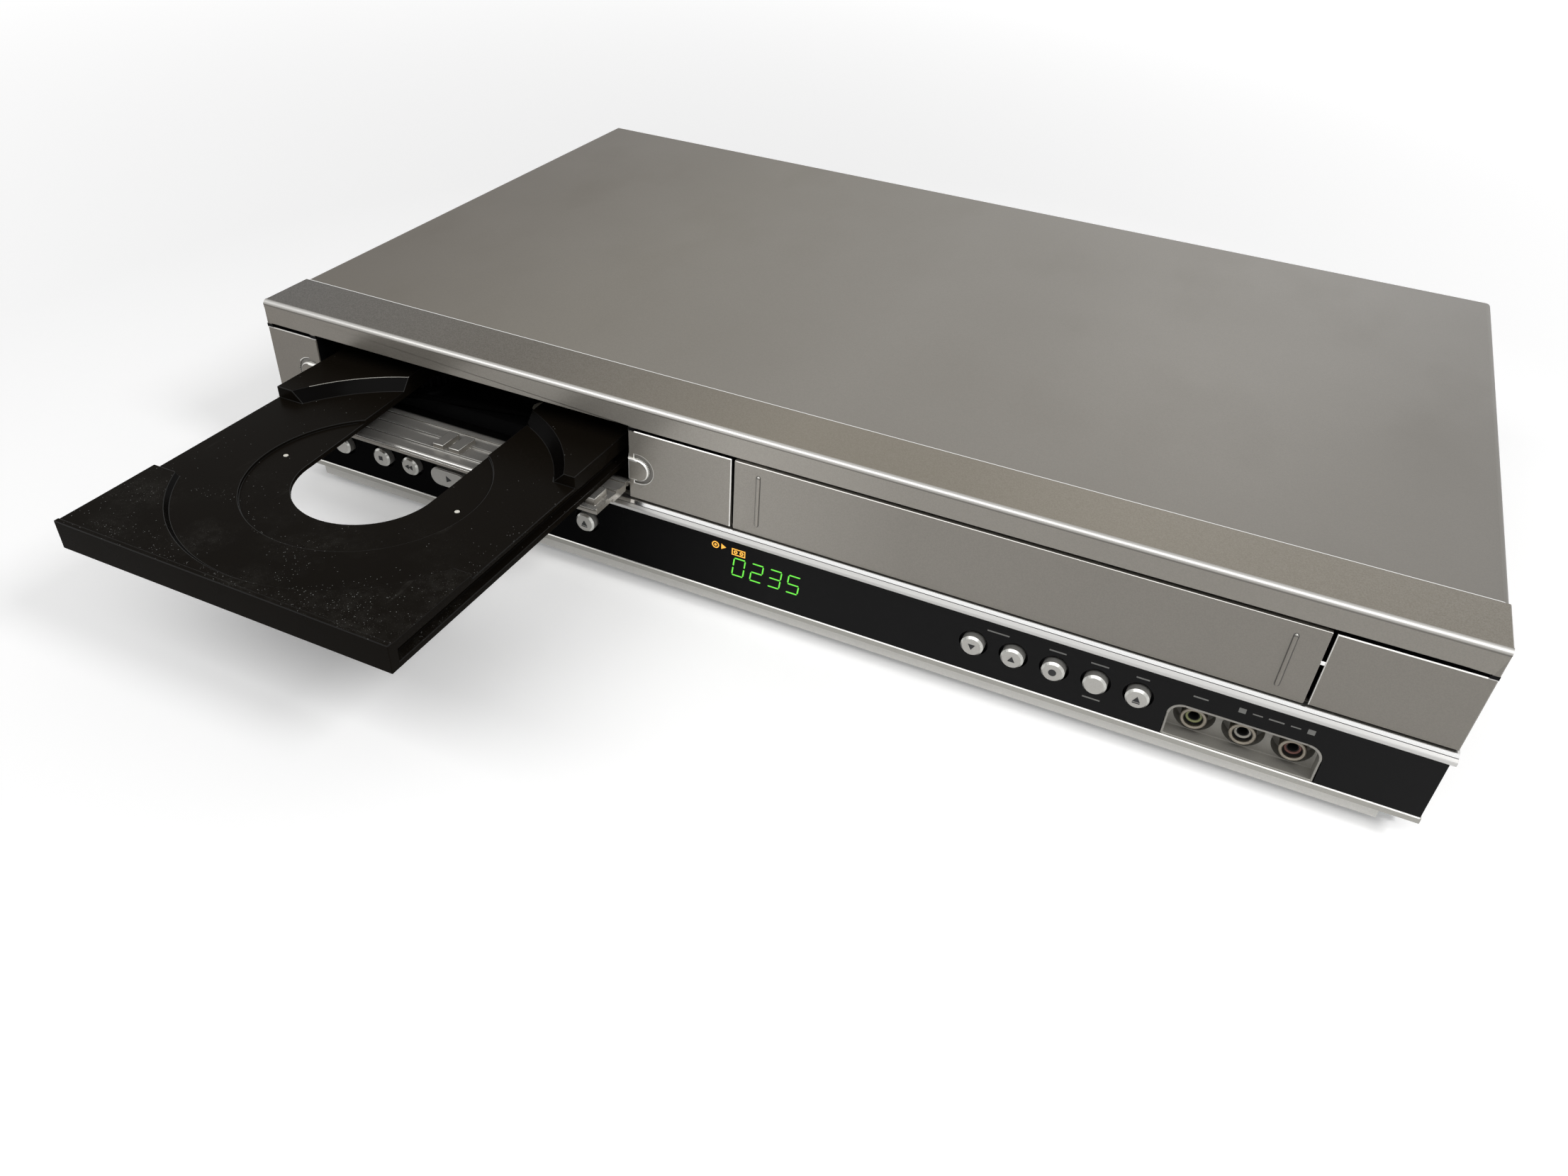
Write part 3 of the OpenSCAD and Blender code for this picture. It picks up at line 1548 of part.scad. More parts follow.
module cassette_holder() {
    color("#a6a8aa")
        place() {
            slab([door_x - holder_out, door_x + holder_out], [holder_y, holder_y + holder_d], [holder_top, holder_top + sheet_t]);
            for (side = [-1, 1]) {
                x = side > 0 ? door_x + holder_in : door_x - holder_out;
                lip = side > 0 ? door_x + holder_out - holder_floor_w : door_x - holder_out;
                pin = side > 0 ? door_x + holder_out - cut : door_x - holder_out - (slider_x - holder_out) - sheet_t;
                slab([x, x + sheet_t], [holder_y, holder_y + holder_d], [holder_z - sheet_t, holder_top + sheet_t]);
                slab([lip, lip + holder_floor_w], [holder_y, holder_y + holder_d], [holder_z - sheet_t, holder_z]);
                for (y = [holder_pin_y1, holder_pin_y2])
                    rod_x(holder_pin_r, slider_x - holder_out + sheet_t + cut, [pin, y, holder_pin_z]);
            }
        }
}

// Electronics
corner_shares = [0.06, 0.94];
module board(x, y, w, d, chips) {
    slab([x, x + w], [y, y + d], [board_z, board_z + board_t]);
    for (c = chips)
        slab([x + c[0] * w, x + (c[0] + c[2]) * w], [y + c[1] * d, y + (c[1] + c[3]) * d],
            [board_z + board_t, board_z + board_t + chip_h]);
    for (sx = corner_shares, sy = corner_shares)
        rod_z(screw_head_r, standoff, [x + sx * w, y + sy * d, floor_z]);
}

module main_board() {
    chip_shares = [[0.2, 0.3, 0.2, 0.15], [0.55, 0.5, 0.16, 0.12], [0.3, 0.65, 0.1, 0.08], [0.62, 0.2, 0.08, 0.18]];
    color("#3f6a34")
        place() board(main_left, main_y, main_w, main_d, chip_shares);
}

module power_board() {
    chip_shares = [[0.74, 0.5, 0.06, 0.3], [0.84, 0.15, 0.08, 0.2]];
    color("#b58b4c")
        place() board(power_left, power_y, power_w, power_d, chip_shares);
}

core_x = 44;
core_w = 34;
core_h = 22;
coil_over = 4;
coil_inset = 6;
module power_transformer() {
    x = power_left + core_x;
    z = board_z + board_t;
    color("#c9a53c")
        place() {
            slab([x, x + core_w], [power_y + coil_inset, power_y + power_d - coil_inset], [z, z + core_h]);
            slab([x - coil_over, x + core_w + coil_over], [power_y + 2 * coil_inset, power_y + power_d - 2 * coil_inset],
                [z + coil_inset, z + core_h - coil_inset]);
        }
}

big_cap = [22, 9, 30];
small_cap = [88, 5, 20];
small_cap_ys = [8, 20];
module reservoir_capacitors() {
    z = board_z + board_t;
    color("#23304a")
        place() {
            rod_z(big_cap[1], big_cap[2], [power_left + big_cap[0], power_y + big_cap[1] + gap, z]);
            for (y = small_cap_ys)
                rod_z(small_cap[1], small_cap[2], [power_left + small_cap[0], power_y + y, z]);
        }
}

module mains_inlet() {
    face = rear_face + inlet_lip;
    color("#161616")
        place() {
            difference() {
                push_y(rear_y - inlet_d, face)
                    translate([inlet_x, inlet_z])
                        round_box(inlet_w, inlet_h, inlet_r);
                push_y(face - inlet_hole_d, face + cut)
                    translate([inlet_x, inlet_z])
                        pill(inlet_hole_w, inlet_hole_h);
            }
            for (side = [-1, 1])
                rod_y(inlet_pin_r, inlet_pin_l + cut, [inlet_x + side * inlet_pitch / 2, face - inlet_hole_d - cut, inlet_z]);
        }
}

module tuner_module() {
    color("#c8cacb")
        place() {
            slab([socket_x - can_w / 2, socket_x + can_w / 2], [rear_y - can_l, rear_y], [can_z, can_z + can_h]);
            for (j = [0, 1])
                difference() {
                    rod_y(socket_r, rear_t + socket_l + cut, [socket_x, rear_y - cut, socket_z + j * socket_rise]);
                    rod_y(socket_bore_r, socket_l + cut, [socket_x, rear_face, socket_z + j * socket_rise]);
                }
        }
}

bottom_chassis();
top_cover();
front_bezel();
rear_panel();
chrome_strip();
lens_panel();
jack_recess();
jack_sleeves();
jack_inserts();
rear_jack_block();
display_module();
control_board();
tact_switches();
rubber_feet();
case_screws();
main_board();
power_board();
power_transformer();
reservoir_capacitors();
mains_inlet();
tuner_module();
loader_frame();
clamp_bridge();
loader_motor();
motor_pulley();
loader_belt();
vcr_deck();
drum_base();
carrier_side_plates();
hinge_springs();
disc_tray();
dvd_flap();
loader_gear();
disc_clamp();
traverse_chassis();
spindle_motor();
sled_rails();
turntable();
pickup_sled();
objective_lens();
cassette_door();
carrier_slider();
cassette_holder();
head_drum();
capstan();
pinch_arm();
supply_reel();
take_up_reel();
power_button();
stop_button();
rewind_button();
play_button();
forward_button();
pause_button();
tray_button();
channel_down_button();
channel_up_button();
record_button();
source_button();
cassette_button();
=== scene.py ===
import json
import math

import bmesh
import bpy
from mathutils import Matrix, Vector

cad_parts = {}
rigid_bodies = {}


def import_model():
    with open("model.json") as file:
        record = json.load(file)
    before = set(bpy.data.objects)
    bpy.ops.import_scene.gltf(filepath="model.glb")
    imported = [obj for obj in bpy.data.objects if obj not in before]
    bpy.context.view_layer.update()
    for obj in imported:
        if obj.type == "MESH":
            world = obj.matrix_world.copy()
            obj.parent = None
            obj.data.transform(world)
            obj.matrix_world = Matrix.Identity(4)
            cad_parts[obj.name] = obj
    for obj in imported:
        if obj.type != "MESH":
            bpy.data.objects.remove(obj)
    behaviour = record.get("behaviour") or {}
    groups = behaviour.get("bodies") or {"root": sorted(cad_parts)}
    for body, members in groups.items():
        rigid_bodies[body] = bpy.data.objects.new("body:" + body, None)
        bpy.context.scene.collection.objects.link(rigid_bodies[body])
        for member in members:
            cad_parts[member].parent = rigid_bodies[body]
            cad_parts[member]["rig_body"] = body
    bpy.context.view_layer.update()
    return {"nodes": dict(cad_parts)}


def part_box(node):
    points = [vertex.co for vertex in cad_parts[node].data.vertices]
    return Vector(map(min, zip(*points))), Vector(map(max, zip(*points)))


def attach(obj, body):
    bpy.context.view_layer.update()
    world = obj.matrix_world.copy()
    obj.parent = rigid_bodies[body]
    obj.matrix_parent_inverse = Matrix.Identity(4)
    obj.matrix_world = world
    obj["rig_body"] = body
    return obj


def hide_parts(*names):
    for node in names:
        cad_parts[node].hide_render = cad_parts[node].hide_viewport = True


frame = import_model()
cadNodes = frame["nodes"]
mm = 0.001

# The black band's front face is the plane that every front measure starts from
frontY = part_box("lens_panel")[0].y


def at(x, y, z):
    # a place in millimetres, y from the front panels, z from the floor
    return Vector((x * mm, frontY + y * mm, z * mm))


def measured(place):
    # the same the other way: millimetres from a place
    return (place - at(0, 0, 0)) / mm


def within(value, span):
    return span[0] < value < span[1]


# Node helpers
class Sock:
    # one output of a node, with arithmetic
    def __init__(self, graph, socket):
        self.graph = graph
        self.socket = socket

    def math(self, operation, *others):
        return self.graph.node("ShaderNodeMath", {"operation": operation}, dict(enumerate((self,) + others)))

    def __add__(self, other):
        return self.math("ADD", other)

    def __sub__(self, other):
        return self.math("SUBTRACT", other)

    def __mul__(self, other):
        return self.math("MULTIPLY", other)

    def __rsub__(self, other):
        return self.graph.node("ShaderNodeMath", {"operation": "SUBTRACT"}, {0: other, 1: self})

    __radd__ = __add__
    __rmul__ = __mul__


class Graph:
    # a node tree with one way to add any node
    def __init__(self, tree):
        self.tree = tree

    def node(self, kind, settings=None, sockets=None, out=0):
        made = self.tree.nodes.new(kind)
        for key, value in (settings or {}).items():
            setattr(made, key, value)
        for key, value in (sockets or {}).items():
            self.feed(made.inputs[key], value)
        return Sock(self, made.outputs[out])

    def feed(self, entry, value):
        if isinstance(value, Sock):
            self.tree.links.new(value.socket, entry)
        else:
            entry.default_value = value

    def ramp(self, value, low, high, start=0.0, end=1.0):
        sockets = {"Value": value, "From Min": low, "From Max": high, "To Min": start, "To Max": end}
        return self.node("ShaderNodeMapRange", {"clamp": True}, sockets)

    def seen(self):
        # 1 for rays from the camera and those that show the surroundings in a surface
        names = ("Is Camera Ray", "Is Glossy Ray", "Is Transmission Ray")
        rays = [self.node("ShaderNodeLightPath", out=name) for name in names]
        return (rays[0] + rays[1] + rays[2]).math("MINIMUM", 1.0)


class Finish(Graph):
    # a material whose surface is one Principled shader
    def __init__(self, name, color, roughness, metallic=0.0, **constants):
        self.material = bpy.data.materials.new(name)
        self.material.use_nodes = True
        super().__init__(self.material.node_tree)
        self.shader = self.tree.nodes["Principled BSDF"]
        self.set({"Base Color": paint(color), "Roughness": roughness, "Metallic": metallic})
        self.set({key.replace("_", " "): value for key, value in constants.items()})
        self.place = self.node("ShaderNodeTexCoord", out="Object")

    def set(self, values):
        for key, value in values.items():
            self.feed(self.shader.inputs[key], value)

    def noise(self, scale, detail=3.0, stretch=(1, 1, 1)):
        spot = self.node("ShaderNodeMapping", sockets={"Vector": self.place, "Scale": stretch})
        return self.node("ShaderNodeTexNoise", sockets={"Vector": spot, "Scale": scale, "Detail": detail})

    def cells(self, scale, feature="F1", out="Distance"):
        sockets = {"Vector": self.place, "Scale": scale}
        return self.node("ShaderNodeTexVoronoi", {"feature": feature}, sockets, out)

    def mix(self, share, first, second, blend="MIX"):
        settings = {"data_type": "RGBA", "blend_type": blend}
        return self.node("ShaderNodeMix", settings, {0: share, 6: paint(first), 7: paint(second)}, out=2)

    def axis(self, name):
        return self.node("ShaderNodeSeparateXYZ", sockets={0: self.place}, out=name)

    def along(self, stops):
        # a tone that changes across the cabinet in X, from stops of (millimetres, colour); it carries painted
        # shade and painted reflection
        left, right = stops[0][0], stops[-1][0]
        drift = self.node("ShaderNodeValToRGB", sockets={0: self.ramp(self.axis("X"), left * mm, right * mm)})
        elements = drift.socket.node.color_ramp.elements
        for x, tone in stops[1:-1]:
            elements.new((x - left) / (right - left))
        for element, (x, tone) in zip(elements, stops):
            element.color = paint(tone)
        return drift

    def depth(self, y0, y1):
        # runs from 0 to 1 between two places in Y
        return self.ramp(self.axis("Y"), at(0, y0, 0).y, at(0, y1, 0).y)

    def bump(self, height, distance, strength=1.0, normal=None):
        sockets = {"Height": height, "Distance": distance, "Strength": strength}
        if normal:
            sockets["Normal"] = normal
        return self.node("ShaderNodeBump", sockets=sockets)

    def facing(self, direction):
        # how far the surface turns to a direction
        sockets = {0: self.node("ShaderNodeNewGeometry", out="Normal"), 1: direction}
        return self.node("ShaderNodeVectorMath", {"operation": "DOT_PRODUCT"}, sockets, "Value")


def paint(value):
    if isinstance(value, Sock):
        return value
    return (*value, 1) if len(value) == 3 else value


def shade(color, factor):
    return tuple(min(1.0, c * factor) for c in color)


# Finishes
upward = (0.0, 0.0, 1.0)
upAndForward = (0.0, -0.66, 0.751)


def metallicPaint(
    name, color, roughness, flake, metallic=0.75, coat=0.0, drift=None, paintedHighlight=None, top=None, paintedShadeSpan=None
):
    # sprayed silver with a fine flake and a faint orange peel, some of it under clear lacquer
    f = Finish(name, color, roughness, metallic, Coat_Weight=coat, Coat_Roughness=0.2)
    flakes = f.noise(2600, 1)
    specks = f.ramp(flakes, 0.35, 0.65)
    cloud = f.ramp(f.noise(9, 4), 0.3, 0.7)
    smudge = f.ramp(f.noise(34, 5, (1, 0.5, 1)), 0.52, 0.72)
    tone = f.mix(specks, shade(color, 1 - flake), shade(color, 1 + flake))
    tone = f.mix(cloud * 0.35, tone, shade(color, 0.93))
    # painted shade: the tone darkens towards the ends of the cabinet in X
    if drift:
        tone = f.mix(1.0, tone, f.along(drift), "MULTIPLY")
    if top:
        # painted shade: the bar's upper face is painted darker and warmer than its front, and has no lacquer
        flat = f.ramp(f.facing(upward), 0.93, 1.0)
        paintedTopShade = f.mix(1.0, top, f.along(barPaintedShade), "MULTIPLY")
        tone = f.mix(flat, tone, f.mix(specks * 0.12, paintedTopShade, shade(color, 1.2)))
        f.set({"Coat Weight": coat * (1 - flat)})
    if paintedHighlight:
        # painted highlight: edges that face up and forward are painted brighter, as the lamp above would show
        # in them
        shine = f.ramp(f.facing(upAndForward), 0.8, 1.0) * (1 - cloud * 0.2)
        tone = f.mix(shine, tone, paintedHighlight)
        f.set({"Metallic": shine * 0.4 + metallic})
        # a painted reflection of the dark floor lies just under them
        rise = f.facing(upward)
        paintedDarkReflection = f.ramp(rise, 0.02, 0.1) - f.ramp(rise, 0.14, 0.36)
        tone = f.mix(paintedDarkReflection * 0.65, tone, (0.03, 0.028, 0.025))
    # painted shade, darker towards the back in Y
    if paintedShadeSpan:
        tone = f.mix(f.depth(*paintedShadeSpan), tone, grey(0.002))
    f.set({
        "Base Color": tone,
        "Roughness": cloud * 0.06 + (roughness - 0.03) + smudge * 0.035,
        "Normal": f.bump(f.noise(420, 2), 0.00003, 0.22, f.bump(flakes, 0.00001, 0.25)),
    })
    return f.material


def polishedStrip(name, color, roughness):
    # metal drawn along its length
    f = Finish(name, color, roughness, 1.0)
    draw = f.noise(60, 3, (0.02, 1, 6))
    f.set({
        "Base Color": f.mix(f.ramp(draw, 0.3, 0.7), shade(color, 0.95), color),
        "Roughness": f.ramp(draw, 0.3, 0.7, roughness * 0.8, roughness * 1.3),
        "Normal": f.bump(draw, 0.00002, 0.3),
    })
    return f.material


def glossBlack(name, color, roughness, dustShare=0.1, spec=0.5, paintedReflection=None):
    # black gloss with a faint swirl of wiping marks and grains of dust
    f = Finish(name, color, roughness, 0.0, Specular_IOR_Level=spec, Coat_Roughness=0.05)
    # painted reflection: the coat's strength changes across X
    if paintedReflection:
        f.set({"Coat Weight": f.along(paintedReflection)})
    wipe = f.noise(16, 5, (0.3, 1, 2))
    grains = f.ramp(f.cells(1500), 0.11, 0.04)
    patch = f.ramp(f.noise(22, 4), 0.45, 0.7)
    dust = grains * patch * dustShare
    f.set({
        "Base Color": f.mix(dust, color, (0.16, 0.15, 0.14)),
        "Roughness": f.ramp(wipe, 0.35, 0.7, roughness, roughness + 0.08) + dust * 0.6,
        "Normal": f.bump(f.noise(180, 2), 0.00002, 0.15),
    })
    return f.material


def dustyTray(name, color, dustColor, dustBack, dustFront):
    # satin black moulding; dust lies on what faces up and thickens towards the front corner plates
    f = Finish(name, color, 0.3, 0.0, Specular_IOR_Level=0.012)
    up = f.ramp(f.facing(upward), 0.75, 0.98)
    front = f.depth(dustBack, dustFront)
    drift = f.ramp(f.noise(46, 6), 0.42, 0.66)
    fine = f.ramp(f.cells(1900), 0.2, 0.08)
    coarse = f.ramp(f.cells(760), 0.085, 0.05)
    hairs = f.ramp(f.noise(210, 2, (1, 0.12, 1)), 0.70, 0.76)
    cover = (0.5 * fine + 0.75 * coarse + 0.25 * hairs) * drift * (0.15 + 0.85 * front) * up
    film = drift * front * up * f.ramp(f.noise(300, 4), 0.4, 0.7, 0.01, 0.07)
    f.set({
        "Base Color": f.mix((cover + film).math("MINIMUM", 0.8), color, dustColor),
        "Roughness": f.ramp(f.noise(70, 4), 0.3, 0.7, 0.24, 0.36) + cover * 0.5 + film,
        "Normal": f.bump(cover, 0.00012, 0.6, f.bump(f.noise(900, 2), 0.00002, 0.25)),
    })
    return f.material


def mouldedPlastic(name, color, roughness, grain=1400, depth=0.00005, spec=0.4):
    f = Finish(name, color, roughness, Specular_IOR_Level=spec)
    texture = f.noise(grain, 3)
    f.set({
        "Base Color": f.mix(f.ramp(f.noise(30, 3), 0.3, 0.7), shade(color, 0.88), shade(color, 1.08)),
        "Roughness": f.ramp(texture, 0.3, 0.7, roughness - 0.06, roughness + 0.08),
        "Normal": f.bump(texture, depth, 0.4),
    })
    return f.material


def texturedCoat(name, color, roughness):
    # wrinkle coat of the rear panel
    f = Finish(name, color, roughness)
    wrinkle = f.cells(1300)
    f.set({
        "Base Color": f.mix(f.ramp(wrinkle, 0.1, 0.6), shade(color, 0.8), shade(color, 1.3)),
        "Roughness": f.ramp(f.noise(40, 3), 0.3, 0.7, roughness - 0.05, roughness + 0.05),
        "Normal": f.bump(wrinkle, 0.00008, 0.5),
    })
    return f.material


def platedSteel(name, color, roughness):
    # zinc plate with a faint spangle and rolling marks
    f = Finish(name, color, roughness, 0.9)
    tone = f.node("ShaderNodeSeparateColor", sockets={0: f.cells(55, out="Color")})
    f.set({
        "Base Color": f.mix(tone, shade(color, 0.86), shade(color, 1.06)),
        "Roughness": f.ramp(tone, 0, 1, roughness - 0.05, roughness + 0.1),
        "Normal": f.bump(f.noise(240, 2, (1, 0.03, 1)), 0.00003, 0.3),
    })
    return f.material


def turnedMetal(name, color, roughness):
    f = Finish(name, color, roughness, 1.0)
    rings = f.noise(90, 2, (1, 1, 30))
    f.set({
        "Base Color": f.mix(f.ramp(rings, 0.3, 0.7), shade(color, 0.85), color),
        "Roughness": f.ramp(rings, 0.3, 0.7, roughness, roughness + 0.12),
        "Normal": f.bump(rings, 0.00002, 0.4),
    })
    return f.material


def buttonPaint(name, color, roughness):
    f = Finish(name, color, roughness, 0.55)
    flakes = f.noise(3200, 1)
    wear = f.ramp(f.noise(500, 4), 0.6, 0.8)
    f.set({
        "Base Color": f.mix(f.ramp(flakes, 0.3, 0.7), shade(color, 0.94), shade(color, 1.05)),
        "Roughness": wear * 0.1 + roughness,
        "Normal": f.bump(flakes, 0.00001, 0.2),
    })
    return f.material


def rubberFinish(name, color, spec=0.4):
    f = Finish(name, color, 0.8, Specular_IOR_Level=spec)
    grain = f.noise(1100, 3)
    f.set({
        "Base Color": f.mix(f.ramp(grain, 0.3, 0.7), shade(color, 0.7), shade(color, 1.6)),
        "Roughness": f.ramp(grain, 0.3, 0.7, 0.7, 0.9),
        "Normal": f.bump(grain, 0.00005, 0.4),
    })
    return f.material


def boardFinish(name, mask, copper, scale=150):
    # solder mask with etched tracks and pads
    f = Finish(name, mask, 0.4)
    tracks = f.ramp(f.cells(scale, "DISTANCE_TO_EDGE"), 0.06, 0.03)
    pads = f.ramp(f.cells(scale * 2.4), 0.16, 0.12)
    f.set({
        "Base Color": f.mix(pads, f.mix(tracks * 0.7, mask, shade(mask, 1.7)), copper),
        "Roughness": 0.42 - pads * 0.17,
        "Metallic": pads * 0.7,
        "Normal": f.bump(tracks + pads, 0.00004, 0.5),
    })
    return f.material


def glowing(name, color, strength):
    f = Finish(name, shade(color, 0.6), 0.3, Emission_Strength=strength)
    flicker = f.ramp(f.noise(900, 2), 0.3, 0.7)
    f.set({
        "Emission Color": f.mix(flicker, shade(color, 0.86), color),
        "Roughness": flicker * 0.15 + 0.25,
    })
    return f.material


def grey(value):
    return (value, value, value)


# Painted shade across X: the silver is darkest at its left end and lightest left of the middle, as the light
# falls
panelPaintedShade = [
    (-217, (0.53, 0.51, 0.485)), (-60, (0.9, 0.9, 0.89)), (-15, grey(1)), (45, (0.7, 0.695, 0.685)),
    (110, (0.64, 0.635, 0.625)), (217, (0.6, 0.595, 0.58)),
]
coverPaintedShade = [
    (-217, (0.46, 0.425, 0.37)), (-110, (0.78, 0.76, 0.71)), (0, grey(1)), (110, grey(0.88)),
    (217, grey(0.66)),
]
barPaintedShade = [
    (-217, (0.1, 0.085, 0.06)), (-110, (0.32, 0.295, 0.25)), (0, grey(1)), (110, grey(0.85)),
    (217, grey(0.62)),
]
# Painted reflection: how strongly the clear lacquer reflects along the black band, weakest at the left end
bandPaintedReflection = [(-217, grey(0.03)), (-70, grey(0.05)), (0, grey(0.25)), (217, grey(0.3))]
# Painted shade: the open flap is painted darker where it passes under the panels, between two places in Y
flapPaintedShade = (1.2, 2.4)
# Scale and depth of two moulded surfaces
smoothGrain = (2000, 0.00001)
fineGrain = (900, 0.00002)
finishes = {
    "cover": metallicPaint("coverSatin", (0.212, 0.197, 0.172), 0.42, 0.05, 0.4, drift=coverPaintedShade),
    "bezel": metallicPaint(
        "silverPaint", (0.315, 0.295, 0.263), 0.3, 0.06, 0.4, 0.2, panelPaintedShade, (0.46, 0.45, 0.43)),
    # the bar: painted shade on its upper face and across X, painted highlight on its edges
    "bar": metallicPaint(
        "barSilver", (0.37, 0.348, 0.312), 0.3, 0.06, 0.4, 0.2, panelPaintedShade, (0.56, 0.55, 0.53),
        top=(0.185, 0.162, 0.122)),
    "lipSilver": metallicPaint("lipSilver", (0.36, 0.35, 0.32), 0.3, 0.05, 0.4, 0.2),
    # the skirt under the lip is painted lighter against the shade it stands in
    "skirtSilver": metallicPaint("skirtSilver", (0.6, 0.59, 0.56), 0.35, 0.04, 0.3, 0.1),
    # a painted highlight for turned edges, and the moat's painted shade below
    "gripShine": metallicPaint("gripShine", (0.86, 0.85, 0.81), 0.3, 0.04, 0.6, 0.6),
    "moatShade": metallicPaint("moatShade", (0.2, 0.191, 0.175), 0.4, 0.05, 0.2),
    "rootShade": metallicPaint("rootShade", (0.075, 0.072, 0.066), 0.4, 0.05, 0.2),
    # the strip's upper slope is painted lighter than its lower slope, a painted highlight, and its groove
    # dark, a painted shade
    "stripTop": polishedStrip("brightStrip", (0.86, 0.86, 0.85), 0.12),
    "stripFace": polishedStrip("stripFace", (0.52, 0.515, 0.5), 0.3),
    "stripLine": mouldedPlastic("stripLine", grey(0.07), 0.5),
    "band": glossBlack("glossBand", (0.0012, 0.0012, 0.0014), 0.3, spec=0.0, paintedReflection=bandPaintedReflection),
    "tray": dustyTray("trayBlack", (0.0056, 0.0044, 0.0031), (0.16, 0.155, 0.14), -62, -100),
    "trayEdge": glossBlack("trayEdge", (0.002, 0.0017, 0.0015), 0.14, 0.02, 0.02),
    "trayLine": glossBlack("trayLine", (0.006, 0.0055, 0.005), 0.2, 0.05, 0.12),
    "trayShine": glossBlack("trayShine", (0.3, 0.29, 0.26), 0.2, 0.05),
    "flapInside": metallicPaint("flapInside", (0.105, 0.1, 0.092), 0.3, 0.04, 0.3, 0.3, paintedShadeSpan=flapPaintedShade),
    "flapRidge": metallicPaint("flapRidge", (0.30, 0.29, 0.27), 0.25, 0.04, 0.5, 0.4, paintedShadeSpan=flapPaintedShade),
    "flapShine": metallicPaint("flapShine", (0.62, 0.61, 0.58), 0.2, 0.03, 0.8, 0.5, paintedShadeSpan=flapPaintedShade),
    "cap": buttonPaint("capSilver", (0.42, 0.41, 0.385), 0.4),
    "capRim": polishedStrip("capRim", (0.56, 0.56, 0.53), 0.3),
    "mark": mouldedPlastic("printedMark", (0.012, 0.012, 0.014), 0.5, *smoothGrain),
    "label": mouldedPlastic("printedLabel", (0.17, 0.17, 0.16), 0.5, *smoothGrain),
    "pocket": metallicPaint("pocketGrey", (0.27, 0.26, 0.235), 0.45, 0.05, 0.35),
    "jackShell": turnedMetal("jackShell", (0.70, 0.67, 0.60), 0.25),
    "jackFront": turnedMetal("jackFront", (0.25, 0.225, 0.185), 0.34),
    "jackYellow": mouldedPlastic("jackYellow", (0.30, 0.32, 0.15), 0.4, *fineGrain),
    "jackWhite": mouldedPlastic("jackWhite", (0.46, 0.44, 0.39), 0.4, *fineGrain),
    "jackRed": mouldedPlastic("jackRed", (0.16, 0.07, 0.055), 0.4, *fineGrain),
    "jackHole": mouldedPlastic("jackHole", grey(0.01), 0.6, *fineGrain),
    "blackPlastic": mouldedPlastic("blackMoulding", (0.004, 0.004, 0.0042), 0.45, spec=0.06),
    "blackSteel": mouldedPlastic("blackSteel", grey(0.005), 0.4, *fineGrain, spec=0.1),
    "dust": mouldedPlastic("dustGrain", (0.13, 0.13, 0.125), 0.9, 4000, 0.00001, spec=0.1),
    "pin": mouldedPlastic("locatorPin", (0.72, 0.7, 0.62), 0.35, *smoothGrain),
    "cream": mouldedPlastic("creamMoulding", (0.62, 0.58, 0.48), 0.45),
    "zinc": platedSteel("zincPlate", (0.56, 0.57, 0.57), 0.36),
    "rear": texturedCoat("rearCoat", (0.035, 0.035, 0.037), 0.55),
    "bright": turnedMetal("brightMetal", (0.76, 0.76, 0.75), 0.2),
    "alloy": turnedMetal("drumAlloy", (0.78, 0.78, 0.79), 0.18),
    "rubber": rubberFinish("footRubber", grey(0.02)),
    "belt": rubberFinish("beltRubber", grey(0.0016), 0.03),
    "greenBoard": boardFinish("greenBoard", (0.02, 0.14, 0.05), (0.66, 0.62, 0.5)),
    "brownBoard": boardFinish("brownBoard", (0.34, 0.22, 0.08), (0.6, 0.58, 0.5), 110),
    "tape": mouldedPlastic("windingTape", (0.66, 0.48, 0.08), 0.35, 300, 0.00006),
    "sleeve": mouldedPlastic("capacitorSleeve", (0.03, 0.045, 0.12), 0.25, 800, 0.00001),
    "glass": glossBlack("displayGlass", (0.004, 0.007, 0.006), 0.06, 0.02),
    "lens": polishedStrip("lensCoating", (0.16, 0.2, 0.5), 0.08),
    "digit": glowing("digitGreen", (0.12, 0.68, 0.045), 0.95),
    "amber": glowing("markAmber", (0.86, 0.42, 0.05), 1.0),
}
print("finishes", len(finishes))


# Mesh helpers: corners this near merge, faces this flat join, edges turned more than this are eased
joining = {"near": 2e-6, "flat": math.radians(0.6), "turned": math.radians(40)}


def placed(name, data):
    made = bpy.data.objects.new(name, data)
    bpy.context.scene.collection.objects.link(made)
    return made


def meshOf(bm, name):
    mesh = bpy.data.meshes.new(name)
    bm.to_mesh(mesh)
    bm.free()
    return mesh


def baked(thing):
    # the evaluated mesh of an object, as a new mesh without modifiers or materials
    graph = bpy.context.evaluated_depsgraph_get()
    thing.data = bpy.data.meshes.new_from_object(thing.evaluated_get(graph), depsgraph=graph)
    thing.modifiers.clear()
    thing.data.materials.clear()
    return thing.data


def smooth(mesh, degrees=35):
    bm = bmesh.new()
    bm.from_mesh(mesh)
    for face in bm.faces:
        face.smooth = True
    for edge in bm.edges:
        edge.smooth = len(edge.link_faces) == 2 and edge.calc_face_angle(0) < math.radians(degrees)
    bm.to_mesh(mesh)
    bm.free()


def longerThan(length):
    return lambda edge: edge.calc_length() > length * mm


def aheadOf(y):
    return lambda edge: all(measured(v.co).y < y for v in edge.verts)


def faceWidth(mesh, face):
    # twice the area over the outline, in millimetres: about the width of a long face
    ends = [mesh.vertices[v].co for v in face.vertices]
    outline = sum((a - b).length for a, b in zip(ends, ends[1:] + ends[:1]))
    return 2 * face.area / outline / mm


def belongs(piece, node):
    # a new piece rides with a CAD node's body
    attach(piece, cadNodes[node]["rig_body"])


